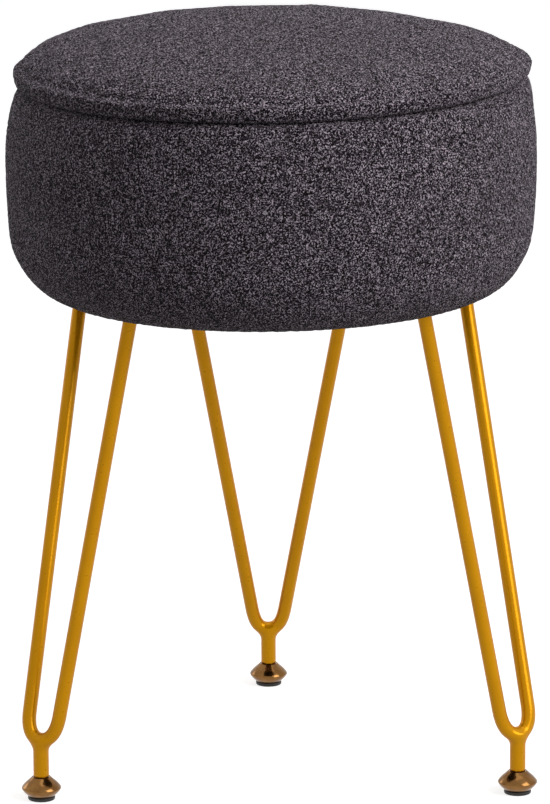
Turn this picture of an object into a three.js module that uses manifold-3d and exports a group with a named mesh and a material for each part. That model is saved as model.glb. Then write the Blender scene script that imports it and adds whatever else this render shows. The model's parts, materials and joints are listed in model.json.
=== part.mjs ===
// Round storage stool for a vanity table: a padded drum with a lift-off padded lid on three hairpin legs.
// Millimetres, +Z up, the sitter's front towards -Y, the floor at Z = 0.

import * as THREE from 'three';
import { mergeVertices } from 'three/addons/utils/BufferGeometryUtils.js';
import Module from 'manifold-3d';

const wasm = await Module();
wasm.setup();

// Clearances
const gap = 0.3;
const lidPlay = 1.0;
const overrun = 5;

// Drum
const drumRadius = 169.9;
const drumUnderside = 316.6;
const drumHeight = 135.3;
const drumPadding = 22;
const wallThickness = 6;
const coverThickness = 2.4;
const lowerFlap = 8;
const upperFlap = 22;
const rimRingHeight = 9;
const rimRingWidth = 14;
const wallLift = 5;
const baseBoardThickness = 12;
const liningThickness = 0.8;

// Side of the drum: shares of the padding, and shares of the drum's height
const drumSideShares = [
  [0.186, 0.044], [0.58, 0.122], [0.868, 0.24], [0.986, 0.44], [1, 0.69], [0.9, 0.87], [0.755, 0.965],
];

// Lid
const lidSetback = 5.1;
const lidThickness = 4.9;
const lidCrown = 32.2;
const lidFlap = 24;
const lidEdgePadding = 10;
const lidRounding = 4.5;
const lidBoardThickness = 8;
const locatingDiscThickness = 9;
const crownFullness = 2;
const crownShoulder = 2;

// Wood screws of the lid
const screwCircleRadius = 90;
const screwRadius = 2;
const screwHeadRadius = 4;
const screwHeadHeight = 2.6;
const screwLength = 14;
const screwTip = 3;
const screwCount = 4;

// Legs
const footCircleRadius = 176.6;
const rodRadius = 4.5;
const bendHeight = 39.5;
const bendRise = 16.5;
const bendHalfWidth = 11.5;
const armHalfSpread = 57.7;
const armPullShare = 1;
const floorPullShare = 0.6;

// The front legs are set a little open to the front: their bends are turned one way and their plates the other
const bendTurn = 26.4;
const plateTurn = 14.4;
const plateShift = 11.6;

// Leg plates and their bolts
const plateRecess = 5.1;
const plateThickness = 3;
const plateHalfWidth = 10;
const plateEndSetback = 3;
const plateMargin = 1.6;
const boltPitch = 34;
const boltRadius = 3;
const boltHeadRadius = 5.5;
const boltHeadHeight = 2.8;
const boltCrownRadius = 4.4;
const boltLength = 16;
const nutBarrelWall = 0.9;
const nutBarrelHeight = 9;
const nutFlangeRadius = 9;
const nutFlangeThickness = 1.2;

// Glides
const padRadius = 8.7;
const padHeight = 2.5;
const padBossRadius = 6;
const padBossHeight = 2;
const padRounding = 0.6;
const capRadius = 12.6;
const capHeight = 12.1;
const stemRadius = 3;
const stemChamfer = 0.6;
const stemInCap = 7.5;
const stemInSocket = 14;
const boreReserve = 2;
const socketRadius = 5;
const socketFlare = 1.9;
const socketFlareHeight = 7;
const flareShareHalfway = 0.33;

// Turned outline of a cap: shares of its radius, and shares of its height
const capShares = [
  [0.7, 0], [0.75, 0.05], [0.92, 0.24], [1, 0.36], [1, 0.43], [0.95, 0.5], [0.74, 0.68], [0.53, 0.87], [0.49, 1],
];

// Facets and steps
const drumFacets = 36;
const rodFacets = 12;
const capFacets = 18;
const fastenerFacets = 12;
const armSteps = 2;
const bendSteps = 16;
const turnSteps = 2;
const sideSteps = 9;
const crownSteps = 9;

// Places worked out from the sizes
const wallOuterRadius = drumRadius - drumPadding;
const wallInnerRadius = wallOuterRadius - wallThickness;
const openingRadius = wallInnerRadius - gap - coverThickness;
const rimRounding = coverThickness + gap;
const drumTop = drumUnderside + drumHeight;
const rimRingTop = drumTop - coverThickness - gap;
const wallTop = rimRingTop - rimRingHeight - gap;
const wallBottom = drumUnderside + coverThickness + wallLift;
const plateUnderside = drumUnderside + plateRecess;
const dustCoverBottom = plateUnderside + plateThickness + gap;
const baseBoardBottom = dustCoverBottom + liningThickness + gap;
const baseBoardTop = baseBoardBottom + baseBoardThickness;
const floorLiningBottom = baseBoardTop + gap + nutFlangeThickness + gap;
const lidRadius = drumRadius - lidSetback;
const lidUnderside = drumTop + gap;
const lidBoardRadius = lidRadius - lidEdgePadding;
const lidBoardBottom = lidUnderside + coverThickness + gap;
const lidBoardTop = lidBoardBottom + lidBoardThickness;
const locatingDiscRadius = openingRadius - lidPlay;
const locatingDiscTop = lidBoardBottom - gap;
const locatingDiscBottom = locatingDiscTop - locatingDiscThickness;
const capBottom = padHeight + gap;
const capTop = capBottom + capHeight;
const socketBottom = capTop + gap;
const boreRadius = stemRadius + gap;

// Finishes
const finishes = {
  fabric: { color: 0x403c41, roughness: 0.95, metalness: 0 },
  foam: { color: 0xe6dcc0, roughness: 1, metalness: 0 },
  plywood: { color: 0xc9a877, roughness: 0.7, metalness: 0 },
  fibreboard: { color: 0xa98a63, roughness: 0.8, metalness: 0 },
  lining: { color: 0x1f1f22, roughness: 0.9, metalness: 0 },
  goldCoat: { color: 0xd4961a, roughness: 0.35, metalness: 0.3 },
  brass: { color: 0x9a7442, roughness: 0.2, metalness: 1 },
  blackPlastic: { color: 0x161616, roughness: 0.6, metalness: 0 },
  zincSteel: { color: 0xb9bcc0, roughness: 0.35, metalness: 1 },
};

// One closed mesh with shared corners, without the collapsed triangles that a pole leaves
function tidy(geometry) {
  geometry.deleteAttribute('normal');
  geometry.deleteAttribute('uv');
  const merged = mergeVertices(geometry);
  const index = merged.getIndex().array;
  const kept = [];
  for (let i = 0; i < index.length; i += 3) {
    const [a, b, c] = index.subarray(i, i + 3);
    if (a !== b && b !== c && c !== a) kept.push(a, b, c);
  }
  merged.setIndex(kept);
  merged.computeVertexNormals();
  return merged;
}

function toSolid(geometry) {
  const vertProperties = Float32Array.from(geometry.getAttribute('position').array);
  const triVerts = Uint32Array.from(geometry.getIndex().array);
  return new wasm.Manifold(new wasm.Mesh({ numProp: 3, vertProperties, triVerts }));
}

function cut(geometry, ...tools) {
  let solid = toSolid(geometry);
  for (const tool of tools) solid = solid.subtract(toSolid(tool));
  const mesh = solid.getMesh();
  const result = new THREE.BufferGeometry();
  result.setAttribute('position', new THREE.BufferAttribute(mesh.vertProperties, 3));
  result.setIndex(new THREE.BufferAttribute(mesh.triVerts, 1));
  result.computeVertexNormals();
  return result;
}

// A profile of [radius, height] points, anticlockwise, turned about the Z axis
function revolve(profile, facets) {
  const points = profile.map(([r, z]) => new THREE.Vector2(r, z));
  return tidy(new THREE.LatheGeometry(points, facets).rotateX(Math.PI / 2));
}

function tube(innerRadius, outerRadius, bottom, top) {
  const profile = [
    [innerRadius, bottom], [outerRadius, bottom], [outerRadius, top], [innerRadius, top], [innerRadius, bottom],
  ];
  return revolve(profile, drumFacets);
}

function circlePoints(radius, facets, x = 0, y = 0) {
  return Array.from({ length: facets }, (_, i) => {
    const angle = (i / facets) * 2 * Math.PI;
    return new THREE.Vector2(x + radius * Math.cos(angle), y + radius * Math.sin(angle));
  });
}

// A flat sheet with round holes, from its bottom height up
function sheet(outline, thickness, bottom, holes = []) {
  const shape = new THREE.Shape(outline);
  for (const { x, y, radius } of holes) shape.holes.push(new THREE.Path(circlePoints(radius, fastenerFacets, x, y)));
  const solid = new THREE.ExtrudeGeometry(shape, { depth: thickness, bevelEnabled: false });
  return tidy(solid.translate(0, 0, bottom));
}

// The polyline moved sideways to its left by a distance
function offset(profile, distance) {
  const points = profile.map(([r, z]) => new THREE.Vector2(r, z));
  const leftOf = (a, b) => {
    const d = b.clone().sub(a).normalize();
    return new THREE.Vector2(-d.y, d.x);
  };
  return points.map((point, i) => {
    const before = i > 0 ? leftOf(points[i - 1], point) : leftOf(point, points[i + 1]);
    const after = i < points.length - 1 ? leftOf(point, points[i + 1]) : before;
    const mid = before.clone().add(after).normalize();
    const moved = point.clone().addScaledVector(mid, distance / mid.dot(before));
    return [moved.x, moved.y];
  });
}

// Points of a quarter turn between two [radius, height] ends, about a centre
function quarter(centreR, centreZ, radius, from, steps) {
  return Array.from({ length: steps + 1 }, (_, i) => {
    const angle = from + (i / steps) * (Math.PI / 2);
    return [centreR + radius * Math.cos(angle), centreZ + radius * Math.sin(angle)];
  });
}

function smooth(controls, count) {
  const curve = new THREE.SplineCurve(controls.map(([r, z]) => new THREE.Vector2(r, z)));
  return curve.getSpacedPoints(count).map((p) => [p.x, p.y]);
}

// A skin: the outer line and the same line moved in by its thickness, joined at both ends
function skin(outer, thickness) {
  const inner = offset(outer, thickness).reverse();
  return [...outer, ...inner, outer[0]];
}

const stool = new THREE.Group();

function add(parent, name, geometry, finish) {
  const mesh = new THREE.Mesh(geometry, new THREE.MeshStandardMaterial(finishes[finish]));
  mesh.name = name;
  parent.add(mesh);
  return mesh;
}

// Outer line of the drum's cover: inside the lower rim, round it, up the bulging side, over the top, inside again
function drumOutline() {
  const lowerTurn = quarter(openingRadius + rimRounding, drumUnderside + rimRounding, rimRounding, Math.PI, turnSteps);
  const sidePoints = drumSideShares.map(([out, up]) => [
    wallOuterRadius + out * drumPadding,
    drumUnderside + up * drumHeight,
  ]);
  const [topEdgeRadius] = sidePoints[sidePoints.length - 1];
  const sideControls = [lowerTurn.pop(), ...sidePoints, [topEdgeRadius - 2 * rimRounding, drumTop]];
  const upperTurn = quarter(openingRadius + rimRounding, drumTop - rimRounding, rimRounding, Math.PI / 2, turnSteps);
  return [
    [openingRadius, drumUnderside + lowerFlap],
    ...lowerTurn,
    ...smooth(sideControls, sideSteps),
    ...upperTurn,
    [openingRadius, drumTop - upperFlap],
  ];
}

function drum() {
  const outline = drumOutline();
  add(stool, 'drum_cover', revolve(skin(outline, coverThickness), drumFacets), 'fabric');

  // The padding fills the space between the wall, the rim ring and the cover
  const foamOutline = offset(outline, coverThickness + gap).filter(
    ([r, z]) => r > wallOuterRadius + 2 * gap && z > wallBottom && z < rimRingTop - gap,
  );
  const foamBottom = foamOutline[0][1];
  const [, foamTop] = foamOutline[foamOutline.length - 1];
  const ringOuterRadius = wallInnerRadius + rimRingWidth;
  const foam = [
    ...foamOutline,
    [ringOuterRadius + gap, foamTop],
    [ringOuterRadius + gap, wallTop - gap],
    [wallOuterRadius + gap, wallTop - gap],
    [wallOuterRadius + gap, foamBottom],
    foamOutline[0],
  ];
  add(stool, 'drum_foam', revolve(foam, drumFacets), 'foam');

  add(stool, 'drum_wall', tube(wallInnerRadius, wallOuterRadius, wallBottom, wallTop), 'plywood');
  const ringBottom = rimRingTop - rimRingHeight;
  add(stool, 'rim_ring', tube(wallInnerRadius, ringOuterRadius, ringBottom, rimRingTop), 'fibreboard');

  const liningOuter = wallInnerRadius - gap;
  const liningTop = drumTop - upperFlap - gap;
  const wallLining = tube(liningOuter - liningThickness, liningOuter, floorLiningBottom, liningTop);
  add(stool, 'wall_lining', wallLining, 'lining');
  const floorRadius = liningOuter - liningThickness - gap;
  const floorLining = sheet(circlePoints(floorRadius, drumFacets), liningThickness, floorLiningBottom);
  add(stool, 'floor_lining', floorLining, 'lining');

  const nutHoles = boltPlaces.map((place) => ({ ...place, radius: boltRadius + gap + nutBarrelWall + gap }));
  const boltHoles = boltPlaces.map((place) => ({ ...place, radius: boltRadius + gap }));
  const boardOutline = circlePoints(liningOuter, drumFacets);
  add(stool, 'base_board', sheet(boardOutline, baseBoardThickness, baseBoardBottom, nutHoles), 'fibreboard');
  add(stool, 'dust_cover', sheet(boardOutline, liningThickness, dustCoverBottom, boltHoles), 'lining');
}

// Outer line of the lid's cover: in from the flap, round the low edge, up to the sewn edge and over the crown
function lidOutline() {
  const edgeHeight = lidUnderside + lidThickness;
  const lowEdge = quarter(lidRadius - lidRounding, lidUnderside + lidRounding, lidRounding, -Math.PI / 2, turnSteps);
  const crown = Array.from({ length: crownSteps + 1 }, (_, i) => {
    const share = Math.cos((i / crownSteps) * (Math.PI / 2));
    const rise = (1 - share ** crownFullness) ** (1 / crownShoulder);
    return [lidRadius * share, edgeHeight + lidCrown * rise];
  });
  crown[crownSteps][0] = 0;
  return [[lidRadius - lidFlap, lidUnderside], ...lowEdge, ...crown];
}

function lid() {
  const outline = lidOutline();
  const inner = offset(outline, coverThickness);
  inner[inner.length - 1][0] = 0;
  add(stool, 'lid_cover', revolve([...outline, ...inner.reverse(), outline[0]], drumFacets), 'fabric');

  const foamBottom = lidBoardTop + gap;
  const padding = offset(outline, coverThickness + gap);
  padding[padding.length - 1][0] = 0;
  const above = padding.findIndex(([, z]) => z > foamBottom);
  const [[lowRadius, lowHeight], [highRadius, highHeight]] = padding.slice(above - 1, above + 1);
  const edgeShare = (foamBottom - lowHeight) / (highHeight - lowHeight);
  const foamRadius = lowRadius + (highRadius - lowRadius) * edgeShare;
  const foam = [[0, foamBottom], [foamRadius, foamBottom], ...padding.slice(above)];
  add(stool, 'lid_foam', revolve(foam, drumFacets), 'foam');

  const headBottom = locatingDiscBottom + gap;
  const screwProfile = [
    [0, headBottom],
    [screwHeadRadius, headBottom],
    [screwRadius, headBottom + screwHeadHeight],
    [screwRadius, headBottom + screwLength - screwTip],
    [0, headBottom + screwLength],
  ];
  const holeProfile = [
    [0, headBottom - overrun],
    [screwHeadRadius + gap, headBottom - overrun],
    [screwHeadRadius + gap, headBottom],
    [screwRadius + gap, headBottom + screwHeadHeight],
    [screwRadius + gap, headBottom + screwLength - screwTip],
    [0, headBottom + screwLength + gap],
  ];
  const screwPlaces = Array.from({ length: screwCount }, (_, i) => {
    const angle = ((i + 0.5) / screwCount) * 2 * Math.PI;
    return [screwCircleRadius * Math.cos(angle), screwCircleRadius * Math.sin(angle)];
  });
  const holes = screwPlaces.map(([x, y]) => revolve(holeProfile, fastenerFacets).translate(x, y, 0));
  const boardOutline = circlePoints(lidBoardRadius, drumFacets);
  const board = sheet(boardOutline, lidBoardThickness, lidBoardBottom);
  add(stool, 'lid_board', cut(board, ...holes), 'fibreboard');
  const discOutline = circlePoints(locatingDiscRadius, drumFacets);
  const disc = sheet(discOutline, locatingDiscThickness, locatingDiscBottom);
  add(stool, 'locating_disc', cut(disc, ...holes), 'fibreboard');
  const liningBottom = locatingDiscBottom - gap - liningThickness;
  add(stool, 'lid_lining', sheet(discOutline, liningThickness, liningBottom), 'lining');
  screwPlaces.forEach(([x, y], i) => {
    const screw = revolve(screwProfile, fastenerFacets).translate(x, y, 0);
    add(stool, `lid_screw_${i + 1}`, screw, 'zincSteel');
  });
}

// The three legs. side is 0 for the back leg, and 1 or -1 for the left and right legs, which mirror each other
const legs = [
  { name: 'left', azimuth: 210, side: 1 },
  { name: 'right', azimuth: 330, side: -1 },
  { name: 'back', azimuth: 90, side: 0 },
];

const radians = THREE.MathUtils.degToRad;

// The plates sit as far out as the recess under the drum lets the front legs' plates go
function plateCircleRadius() {
  const reach = openingRadius - plateHalfWidth - plateMargin;
  const endCentre = armHalfSpread - plateEndSetback;
  const between = radians(90 - plateTurn + plateShift);
  return Math.sqrt(reach ** 2 - (endCentre * Math.sin(between)) ** 2) - endCentre * Math.cos(between);
}

// Plan places in a leg's own frame: X outwards from the stool's axis, the origin on the floor under the glide
function legPlan(side) {
  const shift = radians(-side * plateShift);
  const alongPlate = radians(90 - side * plateTurn);
  const alongBend = radians(90 + side * bendTurn);
  const radius = plateCircleRadius();
  return {
    plateCentre: new THREE.Vector3(
      radius * Math.cos(shift) - footCircleRadius,
      radius * Math.sin(shift),
      plateUnderside,
    ),
    plateDirection: new THREE.Vector3(Math.cos(alongPlate), Math.sin(alongPlate), 0),
    plateAngle: alongPlate,
    bendDirection: new THREE.Vector3(Math.cos(alongBend), Math.sin(alongBend), 0),
  };
}

// A rod's centre line: straight arm, bend in two halves, straight arm, with most of its steps in the bend
class HairpinLine extends THREE.Curve {
  constructor(pieces, stops) {
    super();
    this.pieces = pieces;
    this.stops = stops;
  }

  getPoint(t) {
    let i = 0;
    while (i < this.pieces.length - 1 && t > this.stops[i + 1]) i += 1;
    const from = this.stops[i];
    return this.pieces[i].getPoint((t - from) / (this.stops[i + 1] - from));
  }

  // The steps follow the stops above and not the length along the rod
  getUtoTmapping(u) {
    return u;
  }
}

function hairpinLine(side) {
  const plan = legPlan(side);
  const bottom = new THREE.Vector3(0, 0, bendHeight);
  const lean = plan.plateCentre.clone().sub(bottom);
  const centre = bottom.clone().addScaledVector(lean, bendRise / lean.z);
  const arm = (sign) => {
    const start = centre.clone().addScaledVector(plan.bendDirection, sign * bendHalfWidth);
    const top = plan.plateCentre.clone().addScaledVector(plan.plateDirection, sign * armHalfSpread);
    const down = start.clone().sub(top).normalize();
    const past = top.clone().addScaledVector(down, -rodRadius);
    const pull = start.clone().addScaledVector(down, armPullShare * bendHalfWidth);
    const floorPull = bottom.clone().addScaledVector(plan.bendDirection, sign * floorPullShare * bendHalfWidth);
    return { start, past, pull, floorPull };
  };
  const a = arm(-1);
  const b = arm(1);
  const pieces = [
    new THREE.LineCurve3(a.past, a.start),
    new THREE.CubicBezierCurve3(a.start, a.pull, a.floorPull, bottom),
    new THREE.CubicBezierCurve3(bottom, b.floorPull, b.pull, b.start),
    new THREE.LineCurve3(b.start, b.past),
  ];
  const steps = 2 * armSteps + bendSteps;
  const stops = [0, armSteps / steps, 0.5, 1 - armSteps / steps, 1];
  return { line: new HairpinLine(pieces, stops), steps };
}

function rod(side, radius) {
  const { line, steps } = hairpinLine(side);
  const section = new THREE.Shape(circlePoints(radius, rodFacets));
  return tidy(new THREE.ExtrudeGeometry(section, { steps, extrudePath: line, bevelEnabled: false }));
}

// The part of space above the plate's underside, where both arms are cut level to be welded
function aboveArms() {
  const width = 2 * (footCircleRadius + armHalfSpread);
  const depth = 2 * rodRadius + overrun;
  return tidy(new THREE.BoxGeometry(width, width, depth).translate(0, 0, plateUnderside - gap + depth / 2));
}

function leg({ name, azimuth, side }) {
  const group = new THREE.Group();
  group.rotation.z = radians(azimuth);
  group.position.set(footCircleRadius, 0, 0).applyAxisAngle(new THREE.Vector3(0, 0, 1), radians(azimuth));
  stool.add(group);
  const plan = legPlan(side);

  add(group, `hairpin_${name}`, cut(rod(side, rodRadius), aboveArms()), 'goldCoat');

  // The socket flares to the bend and is coped round it
  const boreTop = socketBottom + stemInSocket + boreReserve;
  const flareBottom = bendHeight - socketFlareHeight;
  const socketProfile = [
    [boreRadius, socketBottom],
    [socketRadius, socketBottom],
    [socketRadius, flareBottom],
    [socketRadius + flareShareHalfway * socketFlare, flareBottom + socketFlareHeight / 2],
    [socketRadius + socketFlare, bendHeight],
    [0, bendHeight],
    [0, boreTop],
    [boreRadius, boreTop],
    [boreRadius, socketBottom],
  ];
  const socket = cut(revolve(socketProfile, capFacets), rod(side, rodRadius + gap));
  add(group, `glide_socket_${name}`, socket, 'goldCoat');

  // Glide: pad, turned cap and threaded stem
  const recessRadius = padBossRadius + gap;
  const recessTop = capBottom + padBossHeight;
  const boreBottom = capTop - stemInCap;
  const capOutline = capShares.map(([out, up]) => [out * capRadius, capBottom + up * capHeight]);
  const capProfile = [
    [recessRadius, capBottom],
    ...capOutline,
    [boreRadius, capTop],
    [boreRadius, boreBottom],
    [0, boreBottom],
    [0, recessTop],
    [recessRadius, recessTop],
    [recessRadius, capBottom],
  ];
  add(group, `glide_cap_${name}`, revolve(capProfile, capFacets), 'brass');
  const stemBottom = boreBottom + gap;
  const stemTop = socketBottom + stemInSocket;
  const stemProfile = [
    [0, stemBottom],
    [stemRadius, stemBottom],
    [stemRadius, stemTop - stemChamfer],
    [stemRadius - stemChamfer, stemTop],
    [0, stemTop],
  ];
  add(group, `glide_stem_${name}`, revolve(stemProfile, fastenerFacets), 'zincSteel');
  const padProfile = [
    [0, 0],
    [padRadius - padRounding, 0],
    [padRadius, padRounding],
    [padRadius, padHeight],
    [padBossRadius, padHeight],
    [padBossRadius, padHeight + padBossHeight],
    [0, padHeight + padBossHeight],
  ];
  add(group, `glide_pad_${name}`, revolve(padProfile, capFacets), 'blackPlastic');

  // Plate with round ends, bolted up into the base board
  const { x, y } = plan.plateCentre;
  const endCentre = armHalfSpread - plateEndSetback;
  const roundEnd = (sign) => Array.from({ length: rodFacets / 2 + 1 }, (_, i) => {
    const angle = sign * (Math.PI / 2) + (i / (rodFacets / 2) - 0.5) * Math.PI;
    return new THREE.Vector2(
      plateHalfWidth * Math.cos(angle),
      sign * endCentre + plateHalfWidth * Math.sin(angle),
    );
  });
  const turned = (point) => point.rotateAround(new THREE.Vector2(), plan.plateAngle - Math.PI / 2);
  const plateOutline = [...roundEnd(-1), ...roundEnd(1)].map(turned).map((p) => p.add(new THREE.Vector2(x, y)));
  const places = legBoltPlaces(side);
  const plateHoles = places.map((place) => ({ ...place, radius: boltRadius + gap }));
  add(group, `leg_plate_${name}`, sheet(plateOutline, plateThickness, plateUnderside, plateHoles), 'goldCoat');

  places.forEach((place, i) => {
    const headTop = plateUnderside - gap;
    const headBottom = headTop - boltHeadHeight;
    const boltProfile = [
      [0, headBottom],
      [boltCrownRadius, headBottom],
      [boltHeadRadius, headBottom + boltHeadHeight / 2],
      [boltHeadRadius, headTop],
      [boltRadius, headTop],
      [boltRadius, headTop + boltLength],
      [0, headTop + boltLength],
    ];
    const bolt = revolve(boltProfile, fastenerFacets).translate(place.x, place.y, 0);
    add(group, `leg_bolt_${name}_${i + 1}`, bolt, 'zincSteel');

    const nutBore = boltRadius + gap;
    const barrelRadius = nutBore + nutBarrelWall;
    const flangeBottom = baseBoardTop + gap;
    const flangeTop = flangeBottom + nutFlangeThickness;
    const nutProfile = [
      [nutBore, flangeBottom - nutBarrelHeight],
      [barrelRadius, flangeBottom - nutBarrelHeight],
      [barrelRadius, flangeBottom],
      [nutFlangeRadius, flangeBottom],
      [nutFlangeRadius, flangeTop],
      [nutBore, flangeTop],
      [nutBore, flangeBottom - nutBarrelHeight],
    ];
    const nut = revolve(nutProfile, fastenerFacets).translate(place.x, place.y, 0);
    add(group, `tee_nut_${name}_${i + 1}`, nut, 'zincSteel');
  });
}

// Bolt places along a plate, in its leg's own frame
function legBoltPlaces(side) {
  const { plateCentre, plateDirection } = legPlan(side);
  return [-boltPitch, 0, boltPitch].map((along) => {
    const { x, y } = plateCentre.clone().addScaledVector(plateDirection, along);
    return { x, y };
  });
}

// The same places in the stool's frame, for the holes in the base board
const boltPlaces = legs.flatMap(({ azimuth, side }) => legBoltPlaces(side).map(({ x, y }) => {
  const point = new THREE.Vector2(x + footCircleRadius, y).rotateAround(new THREE.Vector2(), radians(azimuth));
  return { x: point.x, y: point.y };
}));

drum();
lid();
legs.forEach(leg);

// The origin is on the floor under the middle of the whole stool, whose back leg reaches further out than its drum
const extent = new THREE.Box3().setFromObject(stool, true);
const middle = extent.getCenter(new THREE.Vector3());
stool.position.set(-middle.x, -middle.y, -extent.min.z);

export default stool;
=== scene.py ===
"""Round vanity storage stool: looped-pile covers, welded hairpin legs and turned glides.

Metres, +Z up, the sitter's front towards -Y, the floor at Z = 0. Each piece is worked out as whole numpy
arrays, sits where the solid that it dresses or replaces sits, and rides on the body that carries it.
"""

from __future__ import annotations

import json
import logging
import math
from collections.abc import Iterable
from dataclasses import dataclass, field
from enum import Enum

import bpy
import numpy as np
from mathutils import Matrix, Vector

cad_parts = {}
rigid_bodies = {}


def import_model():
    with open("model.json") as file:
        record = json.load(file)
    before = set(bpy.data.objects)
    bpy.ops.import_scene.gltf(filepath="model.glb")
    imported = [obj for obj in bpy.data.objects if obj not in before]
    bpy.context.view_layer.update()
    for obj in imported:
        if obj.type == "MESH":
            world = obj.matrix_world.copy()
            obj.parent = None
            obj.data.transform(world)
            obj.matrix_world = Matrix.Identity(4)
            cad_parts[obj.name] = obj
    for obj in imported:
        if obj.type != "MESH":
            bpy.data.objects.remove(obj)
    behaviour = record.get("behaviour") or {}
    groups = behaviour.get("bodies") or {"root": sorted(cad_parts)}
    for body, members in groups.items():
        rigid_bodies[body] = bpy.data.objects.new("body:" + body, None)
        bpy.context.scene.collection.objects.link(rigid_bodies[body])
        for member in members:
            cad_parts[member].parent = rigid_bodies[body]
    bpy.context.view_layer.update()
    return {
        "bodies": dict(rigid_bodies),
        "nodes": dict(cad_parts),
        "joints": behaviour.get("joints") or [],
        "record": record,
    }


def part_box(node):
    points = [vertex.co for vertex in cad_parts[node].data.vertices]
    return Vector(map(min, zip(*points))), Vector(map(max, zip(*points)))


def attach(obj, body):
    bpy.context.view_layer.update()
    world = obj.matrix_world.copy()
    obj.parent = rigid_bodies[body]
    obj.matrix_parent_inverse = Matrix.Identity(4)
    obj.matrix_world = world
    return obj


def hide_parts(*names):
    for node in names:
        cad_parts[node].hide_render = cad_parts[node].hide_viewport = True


MM = 0.001
TURN = 2 * math.pi
# Points nearer than this are one point
MERGED = 0.001 * MM
# Keeps a division by a length away from zero
TINY = 1e-9
# The flat map of a large cover keeps this name, so that its pattern is baked without cutting it up again
FLAT_MAP = "OFBake"
# The mesh attribute with the pile's height, which the knit's shader also turns into painted shade and light
PILE = "pile"
# A mix node's two colour inputs, and its colour output
MIX_FIRST, MIX_SECOND, MIXED = 6, 7, 2
# A wave texture of scale 1 turns its phase by this many radians a metre
WAVE_RATE = 20

log = logging.getLogger("stool")

Array = np.ndarray
# A shader node's output: the node, and the output's name or number
Output = tuple[bpy.types.Node, str | int]


class Slot(Enum):
    """The record's material slots."""

    BOUCLE = "boucle_fabric"
    PLYWOOD = "plywood"
    BOARD = "fibreboard"
    LINING = "lining_cloth"
    GOLD = "gold_coat"
    BRASS = "antique_brass"
    PLASTIC = "black_plastic"
    ZINC = "zinc_steel"


class Side(Enum):
    """The three legs: each one's turn about the seat's axis in degrees, and the hand of its bend."""

    LEFT = (210, 1)
    RIGHT = (330, -1)
    BACK = (90, 0)

    @property
    def label(self) -> str:
        """The leg's name as its solids and bodies use it."""
        return self.name.lower()

    @property
    def azimuth(self) -> float:
        """The leg's turn about the seat's axis, in radians."""
        return math.radians(self.value[0])

    @property
    def hand(self) -> int:
        """1 or -1 for the front legs, which mirror each other, and 0 for the back leg."""
        return self.value[1]

    @property
    def bolts(self) -> list[str]:
        """The names of the bolts in the leg's plate."""
        return [f"leg_bolt_{self.label}_{i}" for i in (1, 2, 3)]


# Shader helpers


def linear_colour(code: str) -> tuple[float, float, float, float]:
    """Turns an sRGB hex colour into the linear colour that a shader works with.

    Args:
        code: a colour such as "#d4961a".

    Returns:
        Linear red, green and blue, and an alpha of 1.
    """
    shares = [int(code[i : i + 2], 16) / 255 for i in (1, 3, 5)]
    lit = [s / 12.92 if s <= 0.04045 else ((s + 0.055) / 1.055) ** 2.4 for s in shares]
    return (lit[0], lit[1], lit[2], 1.0)


def add_node(
    tree: bpy.types.NodeTree,
    kind: str,
    settings: dict | None = None,
    links: dict[str | int, Output] | None = None,
) -> bpy.types.Node:
    """Adds one shader node with its settings and its links.

    Args:
        tree: the node tree that gets the node.
        kind: the node's type, such as "ShaderNodeBump".
        settings: values by property or input, an input by its name or number, and its colour in sRGB hex.
            "stops" is a ramp's list of (place, hex colour).
        links: outputs, by the name or number of the input that each feeds.

    Returns:
        The new node.
    """
    node = tree.nodes.new(kind)
    for key, value in (settings or {}).items():
        if key == "stops":
            ramp = node.color_ramp
            while len(ramp.elements) < len(value):
                ramp.elements.new(0.5)
            for element, (place, code) in zip(ramp.elements, value, strict=True):
                element.position = place
                element.color = linear_colour(code)
        elif isinstance(key, str) and hasattr(node, key):
            setattr(node, key, value)
        else:
            node.inputs[key].default_value = linear_colour(value) if isinstance(value, str) else value
    for key, (source, output) in (links or {}).items():
        tree.links.new(source.outputs[output], node.inputs[key])
    return node


def patchy(
    tree: bpy.types.NodeTree,
    at: Output,
    size: float,
    colours: tuple[str, str],
    detail: float,
    roughness: float = 0.5,
) -> tuple[bpy.types.Node, Output]:
    """Two colours mixed by a noise.

    Args:
        tree: the material's node tree.
        at: the coordinates.
        size: the size of the patches.
        colours: the colour where the noise is low, and the one where it is high.
        detail: the noise's detail.
        roughness: the noise's roughness.

    Returns:
        The noise, and the colour.
    """
    values = {"Scale": 1 / size, "Detail": detail, "Roughness": roughness}
    patches = add_node(tree, "ShaderNodeTexNoise", values, {"Vector": at})
    settings = {"data_type": "RGBA", MIX_FIRST: colours[0], MIX_SECOND: colours[1]}
    return patches, (add_node(tree, "ShaderNodeMix", settings, {0: (patches, 0)}), MIXED)


@dataclass(frozen=True)
class Finish:
    """A finish: the name of its material, and the nodes that make it."""

    name: str

    def nodes(self, tree: bpy.types.NodeTree, at: Output) -> bpy.types.Node:
        """Adds the finish's nodes, which read object coordinates from at, and returns its shader."""
        raise NotImplementedError

    def material(self) -> bpy.types.Material:
        """The finish's material, which is made once."""
        found = bpy.data.materials.get(self.name)
        if found:
            return found
        made = bpy.data.materials.new(self.name)
        made.use_nodes = True
        tree = made.node_tree
        tree.nodes.clear()
        shader = self.nodes(tree, (add_node(tree, "ShaderNodeTexCoord"), "Object"))
        add_node(tree, "ShaderNodeOutputMaterial", links={"Surface": (shader, 0)})
        return made


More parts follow.
